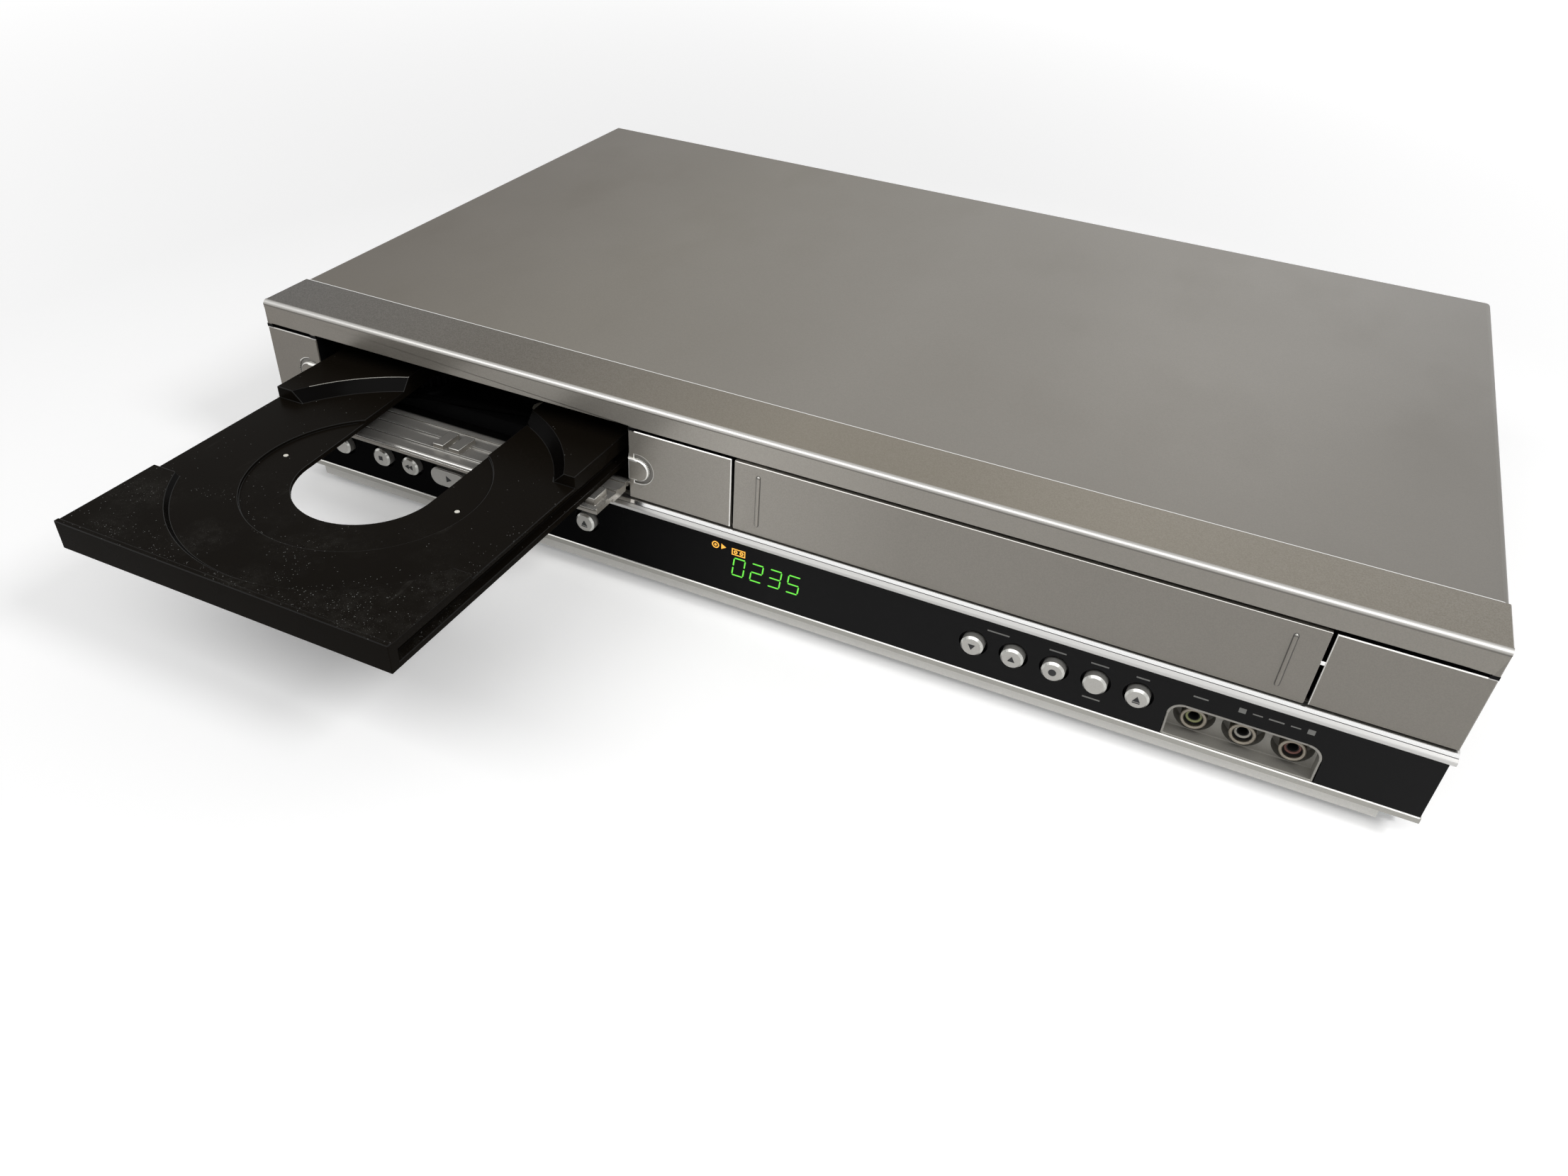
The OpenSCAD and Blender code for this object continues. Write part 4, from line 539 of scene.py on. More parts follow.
def coated(mesh, names):
    # gives each face its finish by name
    slots = list(dict.fromkeys(names))
    for name in slots:
        mesh.materials.append(finishes[name])
    for face, name in zip(mesh.polygons, names):
        face.material_index = slots.index(name)


def dressed(node, material, *cuts, pick=None, joined=True, shaped=None):
    # a copy of a CAD node with its doubles merged, its flats joined and its edges eased
    bm = bmesh.new()
    bm.from_mesh(cadNodes[node].data)
    bmesh.ops.remove_doubles(bm, verts=bm.verts, dist=joining["near"])
    for vert in bm.verts if shaped else ():
        vert.co = shaped(vert.co)
    if joined:
        bmesh.ops.dissolve_limit(
            bm, angle_limit=joining["flat"], verts=bm.verts, edges=bm.edges, delimit={"NORMAL"})
    for rule, width, segments in cuts:
        sharp = [e for e in bm.edges if len(e.link_faces) == 2 and e.calc_face_angle(0) > joining["turned"]]
        bmesh.ops.bevel(
            bm, geom=[e for e in sharp if rule(e)], offset=width * mm, offset_type="OFFSET",
            segments=segments, profile=0.5, affect="EDGES", clamp_overlap=False)
    mesh = meshOf(bm, node + "_dressed")
    smooth(mesh)
    made = placed(node + "_dressed", mesh)
    evening = made.modifiers.new("evening", "WEIGHTED_NORMAL")
    evening.weight = 100
    evening.keep_sharp = True
    mesh = baked(made)
    coated(mesh, [pick(face, faceWidth(mesh, face)) if pick else material for face in mesh.polygons])
    belongs(made, node)
    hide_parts(node)
    return made


def recoat(material, *nodes):
    # a CAD node that keeps its own mesh and gets a finish
    for node in nodes:
        mesh = cadNodes[node].data
        mesh.materials.clear()
        mesh.materials.append(finishes[material])


def bridge(bm, first, second):
    # closes the band between two rows of corners
    for i, corner in enumerate(first):
        j = (i + 1) % len(first)
        bm.faces.new([first[j], corner, second[i], second[j]])


def pushed(bm, first, second):
    # a solid between two outlines of places
    rows = [[bm.verts.new(place) for place in outline] for outline in (first, second)]
    bm.faces.new(rows[0])
    bm.faces.new(list(reversed(rows[1])))
    bridge(bm, *rows)


def rod(bm, points, radius, sides):
    # a round bar along a row of places, with square ends
    rings = []
    side = None
    for i, point in enumerate(points):
        ahead = (points[min(i + 1, len(points) - 1)] - points[max(i - 1, 0)]).normalized()
        side = side - ahead * side.dot(ahead) if side else ahead.orthogonal()
        side.normalize()
        across = ahead.cross(side)
        turns = [2 * math.pi * k / sides for k in range(sides)]
        ring = [point + (side * math.cos(a) + across * math.sin(a)) * radius * mm for a in turns]
        rings.append([bm.verts.new(place) for place in ring])
    for first, second in zip(rings, rings[1:]):
        bridge(bm, first, second)
    bm.faces.new(list(reversed(rings[0])))
    bm.faces.new(rings[-1])


def finished(bm, name, node, material, sharp=35):
    # a new piece that belongs with a CAD node
    bmesh.ops.recalc_face_normals(bm, faces=bm.faces)
    mesh = meshOf(bm, name)
    smooth(mesh, sharp)
    coated(mesh, [material] * len(mesh.polygons))
    made = placed(name, mesh)
    belongs(made, node)
    return made


def plates(name, node, material, outlines, y0, y1):
    # outlines in X and Z, each pushed from y0 back to y1
    bm = bmesh.new()
    for outline in outlines:
        pushed(bm, *[[at(x, y, z) for x, z in outline] for y in (y0, y1)])
    return finished(bm, name, node, material)


def rods(name, node, material, paths, radius, sides):
    bm = bmesh.new()
    for path in paths:
        rod(bm, [at(*place) for place in path], radius, sides)
    return finished(bm, name, node, material)


def hoop(bm, outside, inside, y0, y1):
    # a closed frame between two outlines with as many corners
    rows = ((outside, y0), (inside, y0), (inside, y1), (outside, y1))
    loops = [[bm.verts.new(at(x, y, z)) for x, z in outline] for outline, y in rows]
    for first, second in zip(loops, loops[1:] + loops[:1]):
        bridge(bm, first, second)


def corners(x0, x1, z0, z1):
    return [(x0, z0), (x1, z0), (x1, z1), (x0, z1)]


def box(x, z, wide, high):
    return corners(x - wide / 2, x + wide / 2, z - high / 2, z + high / 2)


def circle(x, z, radius, sides=20):
    turns = [2 * math.pi * k / sides for k in range(sides)]
    return [(x + radius * math.cos(a), z + radius * math.sin(a)) for a in turns]


def pill(x, z, wide, high, sides=8):
    # an upright outline with round ends
    r = wide / 2
    turns = [math.pi * k / sides for k in range(sides + 1)]
    upper = [(x + r * math.cos(a), z + high / 2 - r + r * math.sin(a)) for a in turns]
    return upper + [(x - px + x, z - (pz - z)) for px, pz in upper]


# Geometry-node helper
class Growth(Graph):
    # a geometry-node group with named inputs
    def __init__(self, name, inputs, material, surface=False):
        super().__init__(bpy.data.node_groups.new(name, "GeometryNodeTree"))
        sockets = self.tree.interface
        sockets.new_socket("Geometry", in_out="OUTPUT", socket_type="NodeSocketGeometry")
        if surface:
            sockets.new_socket("Surface", in_out="INPUT", socket_type="NodeSocketGeometry")
        self.ids = {}
        for label, kind in inputs.items():
            made = sockets.new_socket(label, in_out="INPUT", socket_type="NodeSocket" + kind)
            self.ids[label] = made.identifier
        self.inputs = self.tree.nodes.new("NodeGroupInput")
        self.end = self.tree.nodes.new("NodeGroupOutput")
        self.material = material

    def __getitem__(self, label):
        return Sock(self, self.inputs.outputs[label])

    def close(self, geometry):
        whole = self.node("GeometryNodeRealizeInstances", sockets={0: geometry})
        settled = {0: whole, "Material": finishes[self.material]}
        self.feed(self.end.inputs[0], self.node("GeometryNodeSetMaterial", sockets=settled))

    def bake(self, name, node, surface=None, **values):
        made = placed(name, surface.copy() if surface else bpy.data.meshes.new(name))
        growth = made.modifiers.new("growth", "NODES")
        growth.node_group = self.tree
        for label, value in values.items():
            growth[self.ids[label]] = value
        mesh = baked(made)
        coated(mesh, [self.material] * len(mesh.polygons))
        smooth(mesh)
        belongs(made, node)
        return made


# Cabinet
cabinet = {"coverEdge": 0.35, "bezelEdge": 0.3, "panelEdge": 0.3, "bandEdge": 0.2}
dressed("top_cover", "cover", (longerThan(10), cabinet["coverEdge"], 2))

# The raised grips beside the disc slot, and the moat round each
grip = {
    "ahead": -1, "rows": (47, 60), "edge": 0.8, "flat": 0.96, "front": 0.3, "slot": (-194, -58.6),
    "outer": 206, "moatEdge": 0.35, "moatDepth": (0.32, 1.3), "moats": ((-206, -196.2), (-56.5, -47.5)),
    "rims": ((-204.5, -196.5), (-58.2, -48.5)), "flush": 0.05,
}
bezel = {"barLow": 69.7, "lipTop": 12.35, "lipBack": 0.6, "rows": (41, 73), "half": 216.5}


def moatEdge(edge):
    # the outer rim of the moat
    for place in (measured(v.co) for v in edge.verts):
        beside = any(within(place.x, rim) for rim in grip["rims"])
        if not (beside and abs(place.y) < grip["flush"] and within(place.z, grip["rows"])):
            return False
    return True


def bezelFinish(face, wide):
    # the turned edges of both grips get a painted highlight, their moats a painted shade, and the walls
    # behind the panels are bare black
    c = measured(face.center)
    if c.z > bezel["barLow"]:
        return "bar"
    if c.z < bezel["lipTop"]:
        return "lipSilver" if c.y < bezel["lipBack"] else "skirtSilver"
    level = within(c.z, grip["rows"])
    if level and within(c.y, grip["moatDepth"]) and any(within(c.x, moat) for moat in grip["moats"]):
        return "moatShade"
    if c.y > (grip["moatDepth"][1] if level else grip["front"]):
        if within(c.z, bezel["rows"]) and abs(c.x) < bezel["half"]:
            return "blackPlastic"
    turned = abs(face.normal.y) < grip["flat"] and c.y < grip["front"]
    beside = abs(c.x) < grip["outer"] and not within(c.x, grip["slot"])
    return "gripShine" if level and turned and beside else "bezel"


dressed(
    "front_bezel", "bezel", (aheadOf(grip["ahead"]), grip["edge"], 3), (moatEdge, grip["moatEdge"], 2),
    (longerThan(8), cabinet["bezelEdge"], 1), pick=bezelFinish, joined=False)

# Painted shade: black plates carry the dark gap under the top bar on to both corners and to the disc slot
gap = {
    "ends": [(-217.53, -215), (-196.7, -194.28), (-58.42, -56.0), (215, 217.53)],
    "rows": (68.5, 69.75), "depth": (-0.03, 2.0), "edgeRows": (68.2, 68.48), "edgeDepth": (-0.02, 1.0),
}
dark = [corners(*ends, *gap["rows"]) for ends in gap["ends"]]
plates("corner_gap_painted_shade", "front_bezel", "blackPlastic", dark, *gap["depth"])
# a painted highlight along the panel's upper edge under the gap
lit = [corners(*ends, *gap["edgeRows"]) for ends in gap["ends"]]
plates("corner_edge_painted_highlight", "front_bezel", "stripFace", lit, *gap["edgeDepth"])

# The bright strip in profile: a slope with a painted highlight, a groove with painted shade, then a plainer
# slope and face
strip = {
    "ends": 218.0, "bright": (1, 2), "line": (3, 4, 5), "caps": 2, "profile": [
        (1.6, 40.5), (-0.4, 40.5), (-0.62, 40.42), (-1.65, 39.73), (-1.57, 39.53), (-1.77, 39.41),
        (-1.87, 39.6), (-2.8, 39.02), (-3.0, 38.75), (-3.0, 37.75), (-2.85, 37.5), (-2.5, 37.2), (1.6, 37.2),
    ],
}
bm = bmesh.new()
pushed(bm, *[[at(x, y, z) for y, z in strip["profile"]] for x in (-strip["ends"], strip["ends"])])
stripPiece = finished(bm, "bright_strip", "chrome_strip", "stripFace", sharp=8)
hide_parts("chrome_strip")
stripTones = ["stripFace"] * len(stripPiece.data.polygons)
for key, tone in (("bright", "stripTop"), ("line", "stripLine")):
    for i in strip[key]:
        stripTones[i + strip["caps"]] = tone
stripPiece.data.materials.clear()
coated(stripPiece.data, stripTones)
dressed("lens_panel", "band", (longerThan(5), cabinet["bandEdge"], 2))
dressed("rear_panel", "rear")

# The cassette door's two ridges, slimmer than the CAD's, with a painted shade ring round their roots
ridges = {
    "places": (-8.3, 165.1), "z": 54.72, "wide": 1.3, "high": 20.25, "cut": 2.4, "reach": 2, "edge": 0.4,
    "ahead": -0.5, "back": 0.1, "proud": -0.05, "lit": 0.3, "root": (0.45, 0.4), "overlap": 0.1,
    "rootDepth": (-0.015, 0.02),
}


def slimRidge(co):
    # both ridges keep their length and lose half their width
    for x in ridges["places"]:
        off = co.x - x * mm
        if abs(off) < ridges["reach"] * mm and measured(co).y < ridges["back"]:
            return Vector((x * mm + off * ridges["wide"] / ridges["cut"], co.y, co.z))
    return co


def ridgeFinish(face, wide):
    # the upper end of both ridges gets a painted highlight
    lit = measured(face.center).y < ridges["proud"] and face.normal.z > ridges["lit"]
    return "gripShine" if lit else "bezel"


dressed(
    "cassette_door", "bezel", (aheadOf(ridges["ahead"]), ridges["edge"], 2),
    (longerThan(30), cabinet["panelEdge"], 1), pick=ridgeFinish, joined=False, shaped=slimRidge)
bm = bmesh.new()
for x in ridges["places"]:
    outer = pill(x, ridges["z"], ridges["wide"] + ridges["root"][0], ridges["high"] + ridges["root"][1])
    inner = pill(x, ridges["z"], ridges["wide"] - ridges["overlap"], ridges["high"] - ridges["overlap"])
    hoop(bm, outer, inner, *ridges["rootDepth"])
finished(bm, "ridge_root_painted_shade", "cassette_door", "rootShade")

# The door's stop, and a painted highlight along the silver lip's turned upper edge
doorStop = {"path": [(174.1, 1.3, 56.6), (175.3, 1.3, 56.6)], "radius": 0.9}
rods("door_stop", "front_bezel", "stripTop", [doorStop["path"]], doorStop["radius"], sides=12)
lipEdge = {"path": [(-217.0, -0.12, 12.2), (217.0, -0.12, 12.2)], "radius": 0.32}
rods("lip_edge_painted_highlight", "front_bezel", "gripShine", [lipEdge["path"]], lipEdge["radius"], sides=10)

# A painted highlight: a thin bright rod along the seam where the folded cover meets the front moulding
seam = {"y": 23.8, "halfWidth": 217.2, "top": 78.72, "bottom": 12.0, "fold": 2.1, "radius": 0.27, "steps": 8}
route = [(-seam["halfWidth"], seam["bottom"])]
for step in range(seam["steps"] + 1):
    a = math.pi - step * math.pi / 2 / seam["steps"]
    x = -seam["halfWidth"] + seam["fold"] * (1 + math.cos(a))
    route.append((x, seam["top"] - seam["fold"] * (1 - math.sin(a))))
route += [(-x, z) for x, z in reversed(route)]
path = [(x, seam["y"], z) for x, z in route]
rods("cover_seam_painted_highlight", "top_cover", "stripTop", [path], seam["radius"], sides=8)
print("cabinet")

# Disc tray and flap
trayFacts = {
    "edge": 0.25, "wall": (0.15, 0.97), "thin": 0.3, "least": 2e-8,
    "shineTop": 61.9, "shineSpan": (-180, -125), "shineFront": -45, "shineTurn": -0.1,
    "pegs": (-160.55, -89.75), "pegY": -55.6, "pegRows": (56.3, 57.05), "pegRadius": 0.85,
}
flapFacts = {
    "ahead": -20.7, "edge": 0.25, "frontEdge": 0.9, "front": -19.2, "raised": 46.0, "bracket": -67.0,
    "thin": 0.3, "down": 0.2,
}


def trayFinish(face, wide):
    # the wall round the disc recess is polished, thin edges are glossier, and the top of the rear left wall
    # gets a painted highlight
    if not trayFacts["wall"][0] <= face.normal.z <= trayFacts["wall"][1]:
        return "tray"
    if wide < trayFacts["thin"]:
        c = measured(face.center)
        high = c.z > trayFacts["shineTop"] and face.normal.y < trayFacts["shineTurn"]
        shines = high and within(c.x, trayFacts["shineSpan"]) and c.y > trayFacts["shineFront"]
        return "trayShine" if shines else "trayLine"
    return "trayEdge" if face.area > trayFacts["least"] else "tray"


def flapFinish(face, wide):
    # the flap lies open: its inside faces up, its ridges and front band get painted light, its eased edges a
    # painted highlight, and its bracket is bright
    c = measured(face.center)
    if face.normal.z < flapFacts["down"]:
        return "bezel"
    if wide < flapFacts["thin"] or c.x > flapFacts["bracket"]:
        return "flapShine"
    return "flapRidge" if c.y < flapFacts["front"] or c.z > flapFacts["raised"] else "flapInside"


tray = dressed("disc_tray", "tray", (longerThan(1.5), trayFacts["edge"], 2), pick=trayFinish)
dressed(
    "dvd_flap", "bezel", (aheadOf(flapFacts["ahead"]), flapFacts["frontEdge"], 2),
    (longerThan(2), flapFacts["edge"], 2), pick=flapFinish)

# Painted light: pale rods under the two locating holes stand in for the bright floor seen through them
pegs = [[(x, trayFacts["pegY"], z) for z in trayFacts["pegRows"]] for x in trayFacts["pegs"]]
rods("locator_hole_painted_light", "disc_tray", "pin", pegs, trayFacts["pegRadius"], sides=14)

# Dust that lies on the tray, thicker on the front corner plates
dustFacts = {
    "Density": 900000.0, "Smallest": 0.045, "Largest": 0.15, "Patches": 110.0, "Seed": 11,
    "Back": at(0, -60, 0).y, "Front": at(0, -112, 0).y,
}
dustShape = {
    "thinnest": 0.04, "patch": (0.47, 0.66), "flat": 0.985, "long": 1.6, "squat": 0.6,
    "turn": (0.3, 0.3, 6.28),
}
kinds = dict.fromkeys(("Density", "Smallest", "Largest", "Back", "Front", "Patches"), "Float")
growth = Growth("trayDust", {**kinds, "Seed": "Int"}, "dust", surface=True)
spot = growth.node("GeometryNodeInputPosition")
depth = growth.node("ShaderNodeSeparateXYZ", sockets={0: spot}, out="Y")
nearFront = growth.ramp(depth, growth["Back"], growth["Front"], dustShape["thinnest"])
drift = growth.node("ShaderNodeTexNoise", sockets={"Vector": spot, "Scale": growth["Patches"], "Detail": 5.0})
amount = nearFront * growth.ramp(drift, *dustShape["patch"]) * growth["Density"]
normal = growth.node("GeometryNodeInputNormal")
upright = growth.node("ShaderNodeSeparateXYZ", sockets={0: normal}, out="Z")
flat = growth.node("FunctionNodeCompare", {"operation": "GREATER_THAN"}, {0: upright, 1: dustShape["flat"]})
spots = growth.node("GeometryNodeDistributePointsOnFaces", sockets={
    "Mesh": growth["Surface"], "Selection": flat, "Density": amount, "Seed": growth["Seed"]})
grain = growth.node("GeometryNodeMeshIcoSphere", sockets={"Radius": mm, "Subdivisions": 1})
size = growth.node("FunctionNodeRandomValue", {"data_type": "FLOAT"}, {
    2: growth["Smallest"], 3: growth["Largest"], "Seed": growth["Seed"]}, out=1)
squat = growth.node("ShaderNodeCombineXYZ", sockets={
    0: size, 1: size * dustShape["long"], 2: size * dustShape["squat"]})
turnAbout = growth.node("FunctionNodeRandomValue", {"data_type": "FLOAT_VECTOR"}, {
    0: (0.0, 0.0, 0.0), 1: dustShape["turn"], "Seed": growth["Seed"]})
growth.close(growth.node("GeometryNodeInstanceOnPoints", sockets={
    "Points": spots, "Instance": grain, "Rotation": turnAbout, "Scale": squat}))
dust = growth.bake("tray_dust", "disc_tray", tray.data, **dustFacts)
print("tray", len(dust.data.polygons))

# Buttons and their marks
cap = {"face": -2.4, "z": 24.6, "mark": 1.4, "raised": 0.06, "sunk": 0.05, "flange": 0.4, "rim": (0.25, 0.9)}
up = [(-1, -0.75), (1, -0.75), (0, 1)]
down = [(-1, 0.75), (0, -1), (1, 0.75)]
rightward = [(-0.75, -1), (1, 0), (-0.75, 1)]
leftward = [(0.75, -1), (0.75, 1), (-1, 0)]
square = box(0, 0, 1.6, 1.6)
bar = box(0, 0, 0.5, 1.8)
underline = corners(-1, 1, -1.25, -0.95)
buttonFacts = {
    "power_button": (-189.6, []),
    "stop_button": (-170.2, [(square, 0, 0.8)]),
    "rewind_button": (-156.5, [(leftward, -0.95, 0.8), (leftward, 0.75, 0.8)]),
    "play_button": (-137.8, [(rightward, 0, 1.0)]),
    "forward_button": (-119.1, [(rightward, -0.75, 0.8), (rightward, 0.95, 0.8)]),
    "pause_button": (-105.4, [(bar, -0.6, 1), (bar, 0.6, 1)]),
    "tray_button": (-76.9, [(up, 0, 0.9), (underline, 0, 0.9)]),
    "channel_down_button": (73.0, [(down, 0, 0.9)]),
    "channel_up_button": (86.8, [(up, 0, 0.9)]),
    "record_button": (100.6, [(circle(0, 0, 1, 24), 0, 0.95)]),
    "source_button": (114.4, []),
    "cassette_button": (128.2, [(up, 0, 0.9), (underline, 0, 0.9)]),
}


def capFinish(face, wide):
    # bright rounding, dark flange behind the panel
    y = measured(face.center).y
    if y > cap["flange"]:
        return "blackPlastic"
    return "capRim" if within(-face.normal.y, cap["rim"]) and y < 0 else "cap"


def marked(x, marks):
    # the outlines of a cap's marks, in millimetres on the panel
    for outline, dx, share in marks:
        size = share * cap["mark"]
        yield [(x + dx + px * size, cap["z"] + pz * size) for px, pz in outline]


for node, (x, marks) in buttonFacts.items():
    dressed(node, "cap", pick=capFinish)
    if marks:
        front, back = cap["face"] - cap["raised"], cap["face"] + cap["sunk"]
        plates(node + "_mark", node, "mark", marked(x, marks), front, back)
print("buttons")

# Display
display = {
    "left": -17.0, "right": 9.0, "low": 21.0, "high": 28.5, "slant": 0.12, "stroke": 0.5, "gap": 0.32,
    "proud": -0.08, "shown": "0235", "between": 2.4, "apart": 2.8,
}
segments = {"0": "abcdef", "2": "abdeg", "3": "abcdg", "5": "acdfg"}


def digitOutlines(x, width):
    # the seven bars of a digit, each a long hexagon
    low, high, gap, s = display["low"], display["high"], display["gap"], display["stroke"] / 2
    mid = (low + high) / 2

    def flat(z):
        end = x + width
        return [(x + s, z - s), (end - s, z - s), (end, z), (end - s, z + s), (x + s, z + s), (x, z)]

    def post(px, z0, z1):
        return [(px - s, z0 + s), (px, z0), (px + s, z0 + s), (px + s, z1 - s), (px, z1), (px - s, z1 - s)]

    upper, lower = (mid + gap, high - gap), (low + gap, mid - gap)
    return {
        "a": flat(high), "g": flat(mid), "d": flat(low), "f": post(x, *upper), "b": post(x + width, *upper),
        "e": post(x, *lower), "c": post(x + width, *lower),
    }


def leaning(outline):
    return [(x + (z - display["low"]) * display["slant"], z) for x, z in outline]


pitch = (display["right"] - display["left"] + display["between"]) / len(display["shown"])
bars = []
for place, digit in enumerate(display["shown"]):
    outlines = digitOutlines(display["left"] + place * pitch, pitch - display["apart"])
    bars += [leaning(outlines[key]) for key in segments[digit]]
plates("display_digits", "display_module", "digit", bars, display["proud"], 0.0)

# Two amber signs: a disc that plays, and a cassette
signs = {
    "disc": (-23.7, 31.8), "rings": ((1.45, 1.0), (0.5, 0.15)), "arrow": (2.3, 4.2, 1.15),
    "cassette": (-14.6, 31.1), "case": ((5.3, 2.8), (4.5, 2.0)), "reels": (-1.15, 1.15), "reel": (0.75, 0.3),
}
bm = bmesh.new()
depths = (display["proud"], 0)
x, z = signs["disc"]
for outer, inner in signs["rings"]:
    hoop(bm, circle(x, z, outer), circle(x, z, inner), *depths)
near, far, half = signs["arrow"]
arrow = [(x + near, z - half), (x + far, z), (x + near, z + half)]
pushed(bm, *[[at(px, y, pz) for px, pz in arrow] for y in depths])
x, z = signs["cassette"]
hoop(bm, *[box(x, z, *sides) for sides in signs["case"]], *depths)
for dx in signs["reels"]:
    hoop(bm, *[circle(x + dx, z, radius) for radius in signs["reel"]], *depths)
finished(bm, "display_marks", "display_module", "amber")

# Plain dashes where words were printed over the buttons and the jacks
labels = {
    "channel": (80.6, 31.7, 7.5, 0.55), "record": (100.6, 31.7, 5.6, 0.55),
    "source": (114.4, 31.7, 5.8, 0.55), "sourceBelow": (114.4, 17.3, 5.8, 0.55),
    "eject": (128.2, 31.7, 4.2, 0.55), "video": (146.4, 31.2, 4.6, 0.55),
    "audioLeft": (159.0, 31.4, 2.2, 1.9), "audioRight": (179.5, 31.4, 2.2, 1.9),
    "audioDash": (163.6, 31.4, 3.0, 0.45), "audioDashRight": (174.9, 31.4, 3.0, 0.45),
    "audio": (169.2, 31.4, 4.6, 0.55),
}
labelDepth = (-0.04, 0.02)
plates("printed_labels", "lens_panel", "label", [box(*label) for label in labels.values()], *labelDepth)
print("display")

# Jacks; whatever lies less than "front" behind the panels belongs to the three in front
jacks = {
    "frontX": 146.4, "pitch": 15.3, "z": 19.9, "y": 3.1, "front": 50, "ring": 3.6, "wire": 0.62,
    "lip": 2.3, "lipWire": 0.42, "lipBack": 1.4, "rearX": -50, "rearPitch": 14, "pocketEdge": 0.35,
}
tints = ("jackYellow", "jackWhite", "jackRed")


def sleeveFinish(face, wide):
    return "jackFront" if measured(face.center).y < jacks["front"] else "jackShell"


def insertFinish(face, wide):
    # yellow, white and red behind; in front only a coloured lip shows
    c = measured(face.center)
    if c.y < jacks["front"]:
        return "jackHole"
    return tints[max(0, min(2, round((c.x - jacks["rearX"]) / jacks["rearPitch"])))]


dressed("jack_recess", "pocket", (longerThan(1.2), jacks["pocketEdge"], 2), joined=False)
dressed("jack_sleeves", "jackShell", pick=sleeveFinish)
dressed("jack_inserts", "jackYellow", pick=insertFinish)


def ringRow(name, piece, node, material, start, count, radius, wire):
    # a row of rings, each a wire bent round
    kinds = {"Count": "Int", "Pitch": "Vector", "Start": "Vector", "Ring": "Float", "Wire": "Float"}
    rings = Growth(name, kinds, material)
    row = rings.node("GeometryNodeMeshLine", {"mode": "OFFSET"}, {
        "Count": rings["Count"], "Start Location": rings["Start"], "Offset": rings["Pitch"]})
    ring, section = [
        rings.node("GeometryNodeCurvePrimitiveCircle", {"mode": "RADIUS"}, {
            "Resolution": sides, "Radius": rings[label]})
        for label, sides in (("Ring", 32), ("Wire", 10))]
    tube = rings.node("GeometryNodeCurveToMesh", sockets={"Curve": ring, "Profile Curve": section})
    rings.close(rings.node("GeometryNodeInstanceOnPoints", sockets={
        "Points": row, "Instance": tube, "Rotation": (math.pi / 2, 0.0, 0.0)}))
    pitch = Vector((jacks["pitch"] * mm, 0, 0))
    return rings.bake(piece, node, Count=count, Pitch=pitch, Start=start, Ring=radius * mm, Wire=wire * mm)


start = at(jacks["frontX"], jacks["y"], jacks["z"])
ringRow("jackCollars", "jack_collars", "jack_sleeves", "jackFront", start, 3, jacks["ring"], jacks["wire"])
for i, tint in enumerate(tints):
    start = at(jacks["frontX"] + i * jacks["pitch"], jacks["y"] + jacks["lipBack"], jacks["z"])
    name = "jack_lip_%d" % (i + 1)
    ringRow("jackLip", name, "jack_inserts", tint, start, 1, jacks["lip"], jacks["lipWire"])
print("jacks")

# The rest of the CAD nodes
dressed("rubber_feet", "rubber")
dressed("case_screws", "bright")
sheetEdges = {"bottom_chassis": (longerThan(20), 0.15, 1), "cassette_holder": (longerThan(12), 0.1, 1)}
for node, eased in sheetEdges.items():
    dressed(node, "zinc", eased)
recoat(
    "blackPlastic", "rear_jack_block", "mains_inlet", "loader_frame", "disc_clamp", "loader_gear",
    "tact_switches", "turntable", "pickup_sled", "supply_reel", "take_up_reel")
recoat(
    "zinc", "tuner_module", "vcr_deck", "carrier_side_plates", "traverse_chassis", "carrier_slider",
    "pinch_arm")
recoat("bright", "loader_motor", "hinge_springs", "spindle_motor", "sled_rails", "capstan")
recoat("alloy", "drum_base", "head_drum")
recoat("greenBoard", "control_board", "main_board")
recoat("brownBoard", "power_board")
recoat("blackSteel", "clamp_bridge")
recoat("tape", "power_transformer")
recoat("sleeve", "reservoir_capacitors")
recoat("cream", "motor_pulley")
recoat("belt", "loader_belt")
recoat("lens", "objective_lens")
recoat("glass", "display_module")
print("inside")

# The floor shows white to the camera and in reflections, and keeps the shadow
floorFacts = {
    "half": 4.0, "z": -0.0002, "color": (0.93, 0.93, 0.93), "shown": 0.2, "far": 1.0, "from": 0.45, "to": 2.2,
}
bm = bmesh.new()
side = floorFacts["half"]
bm.faces.new([bm.verts.new((x, y, floorFacts["z"])) for x, y in corners(-side, side, -side, side)])
floor = placed("floor", meshOf(bm, "floor"))
pale = Finish("paleFloor", floorFacts["color"], 0.9, Specular_IOR_Level=0.0)
away = pale.node("ShaderNodeVectorMath", {"operation": "LENGTH"}, {0: pale.place}, "Value")
glow = pale.ramp(away, floorFacts["from"], floorFacts["to"], floorFacts["shown"], floorFacts["far"])
emitted = pale.node("ShaderNodeEmission", sockets={"Strength": pale.seen() * glow})
both = pale.node("ShaderNodeAddShader", sockets={0: emitted, 1: Sock(pale, pale.shader.outputs[0])})
pale.feed(pale.tree.nodes["Material Output"].inputs["Surface"], both)
floor.data.materials.append(pale.material)

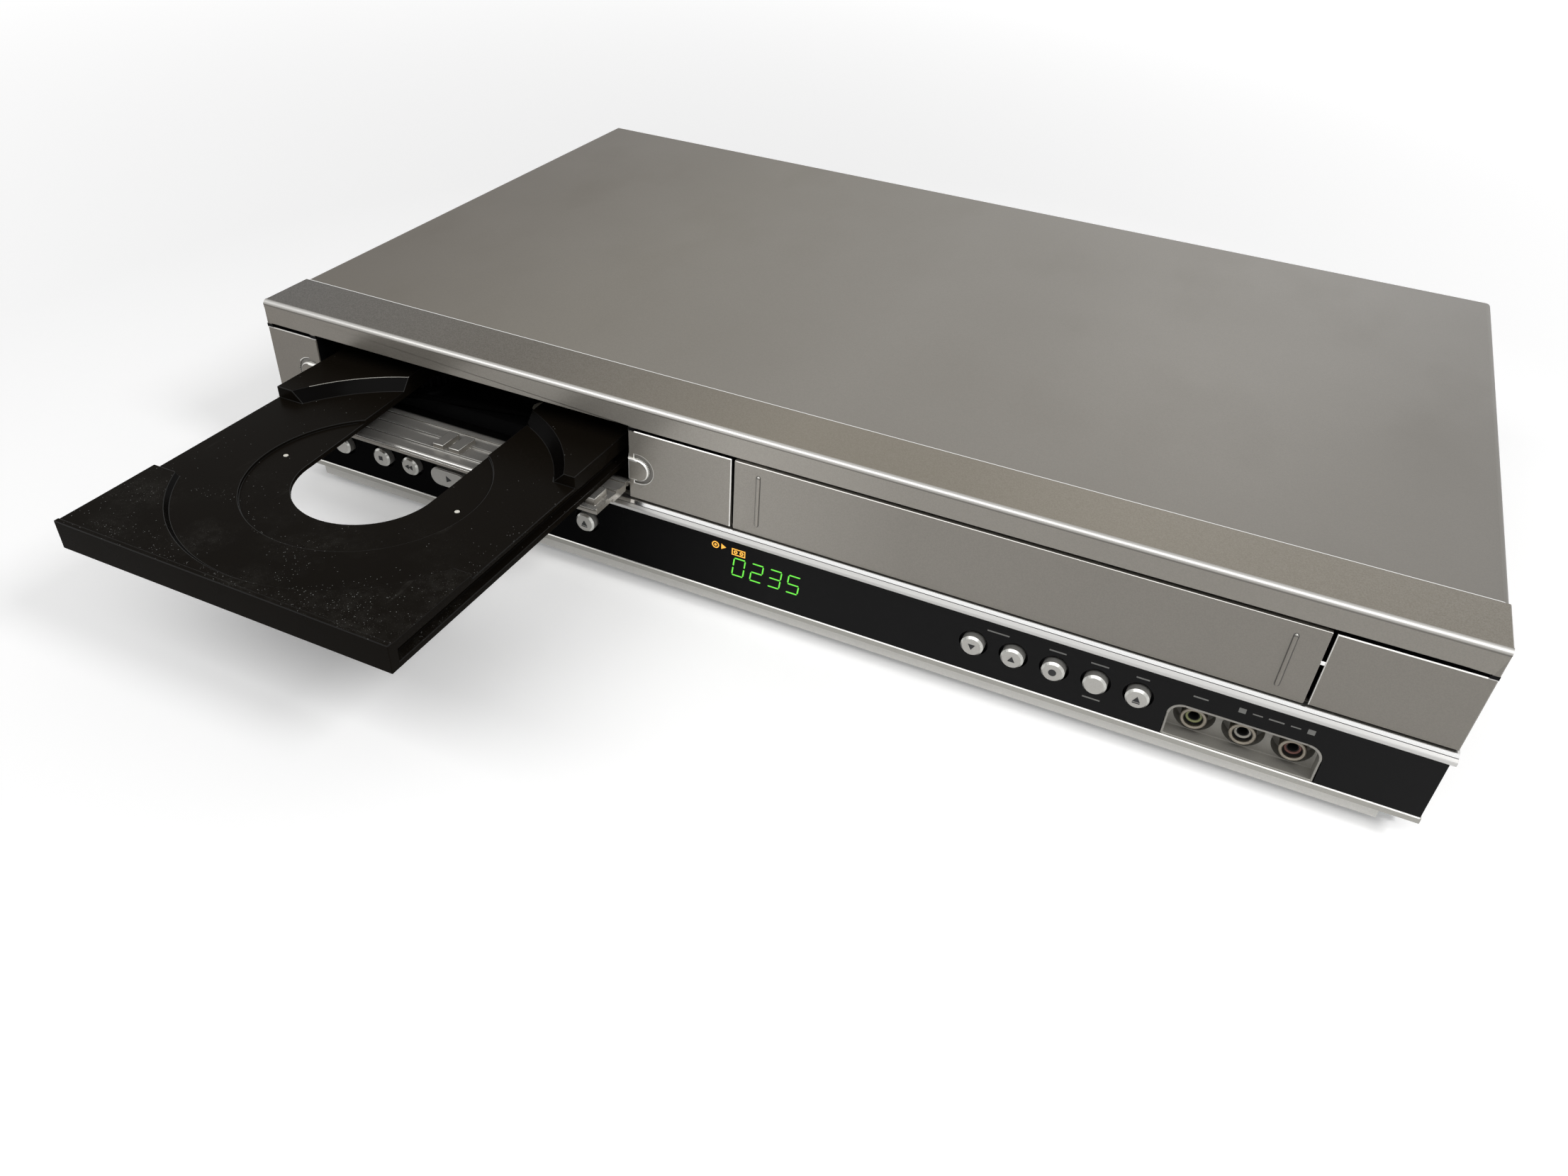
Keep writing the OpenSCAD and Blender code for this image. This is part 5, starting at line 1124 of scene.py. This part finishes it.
# Three soft lamps: place, target, width, height, watts
lamps = {
    "key": ((-0.1, -0.9, 1.3), (-0.1, 0, 0.03), 2.4, 0.6, 13),
    "window": ((0.85, -0.25, 0.95), (0.0, 0.05, 0.05), 0.32, 0.32, 6),
    "back": ((0.45, 1.5, 0.9), (0.05, 0.1, 0.05), 1.3, 1.3, 3),
}
for name, (place, target, width, height, power) in lamps.items():
    lamp = bpy.data.lights.new(name, "AREA")
    lamp.shape = "RECTANGLE"
    lamp.size = width
    lamp.size_y = height
    lamp.energy = power
    lampObject = placed(name, lamp)
    lampObject.location = place
    lampObject.rotation_euler = (Vector(target) - Vector(place)).to_track_quat("-Z", "Y").to_euler()

# White surroundings to the eye and in reflections, a weaker fill for the rest
surroundings = {"shown": 1.0, "fill": 0.3}
world = bpy.data.worlds.new("studio")
bpy.context.scene.world = world
world.use_nodes = True
world.node_tree.nodes.clear()
sky = Graph(world.node_tree)
white = {key: {"Color": (1, 1, 1, 1), "Strength": strength} for key, strength in surroundings.items()}
shown = sky.node("ShaderNodeBackground", sockets=white["shown"])
fill = sky.node("ShaderNodeBackground", sockets=white["fill"])
chosen = sky.node("ShaderNodeMixShader", sockets={0: sky.seen(), 1: fill, 2: shown})
sky.feed(sky.tree.nodes.new("ShaderNodeOutputWorld").inputs["Surface"], chosen)

# The photo's camera: place in millimetres, angles in radians, focal length in the photo's pixels
photoView = {
    "place": (128.79, -308.16, 277.74), "azimuth": 0.386, "elevation": 0.655, "roll": 0.067,
    "focalPixels": 1676.77, "frameWidth": 2212, "sensor": 36, "nearest": 0.01,
}
azimuth, elevation, roll = photoView["azimuth"], photoView["elevation"], photoView["roll"]
reach = math.cos(elevation)
backward = Vector((math.sin(azimuth) * reach, -math.cos(azimuth) * reach, math.sin(elevation)))
level = (-backward).cross(Vector((0, 0, 1))).normalized()
upright = level.cross(-backward)
right = math.cos(roll) * level + math.sin(roll) * upright
top = -math.sin(roll) * level + math.cos(roll) * upright
camera = bpy.data.cameras.new("photoCamera")
camera.sensor_width = photoView["sensor"]
camera.lens = camera.sensor_width * photoView["focalPixels"] / photoView["frameWidth"]
camera.clip_start = photoView["nearest"]
cameraObject = placed("photoCamera", camera)
turn = Matrix((right, top, backward)).transposed().to_4x4()
cameraObject.matrix_world = Matrix.Translation(at(*photoView["place"])) @ turn
bpy.context.scene.camera = cameraObject
bpy.context.scene.view_settings.view_transform = "Standard"
print("studio")
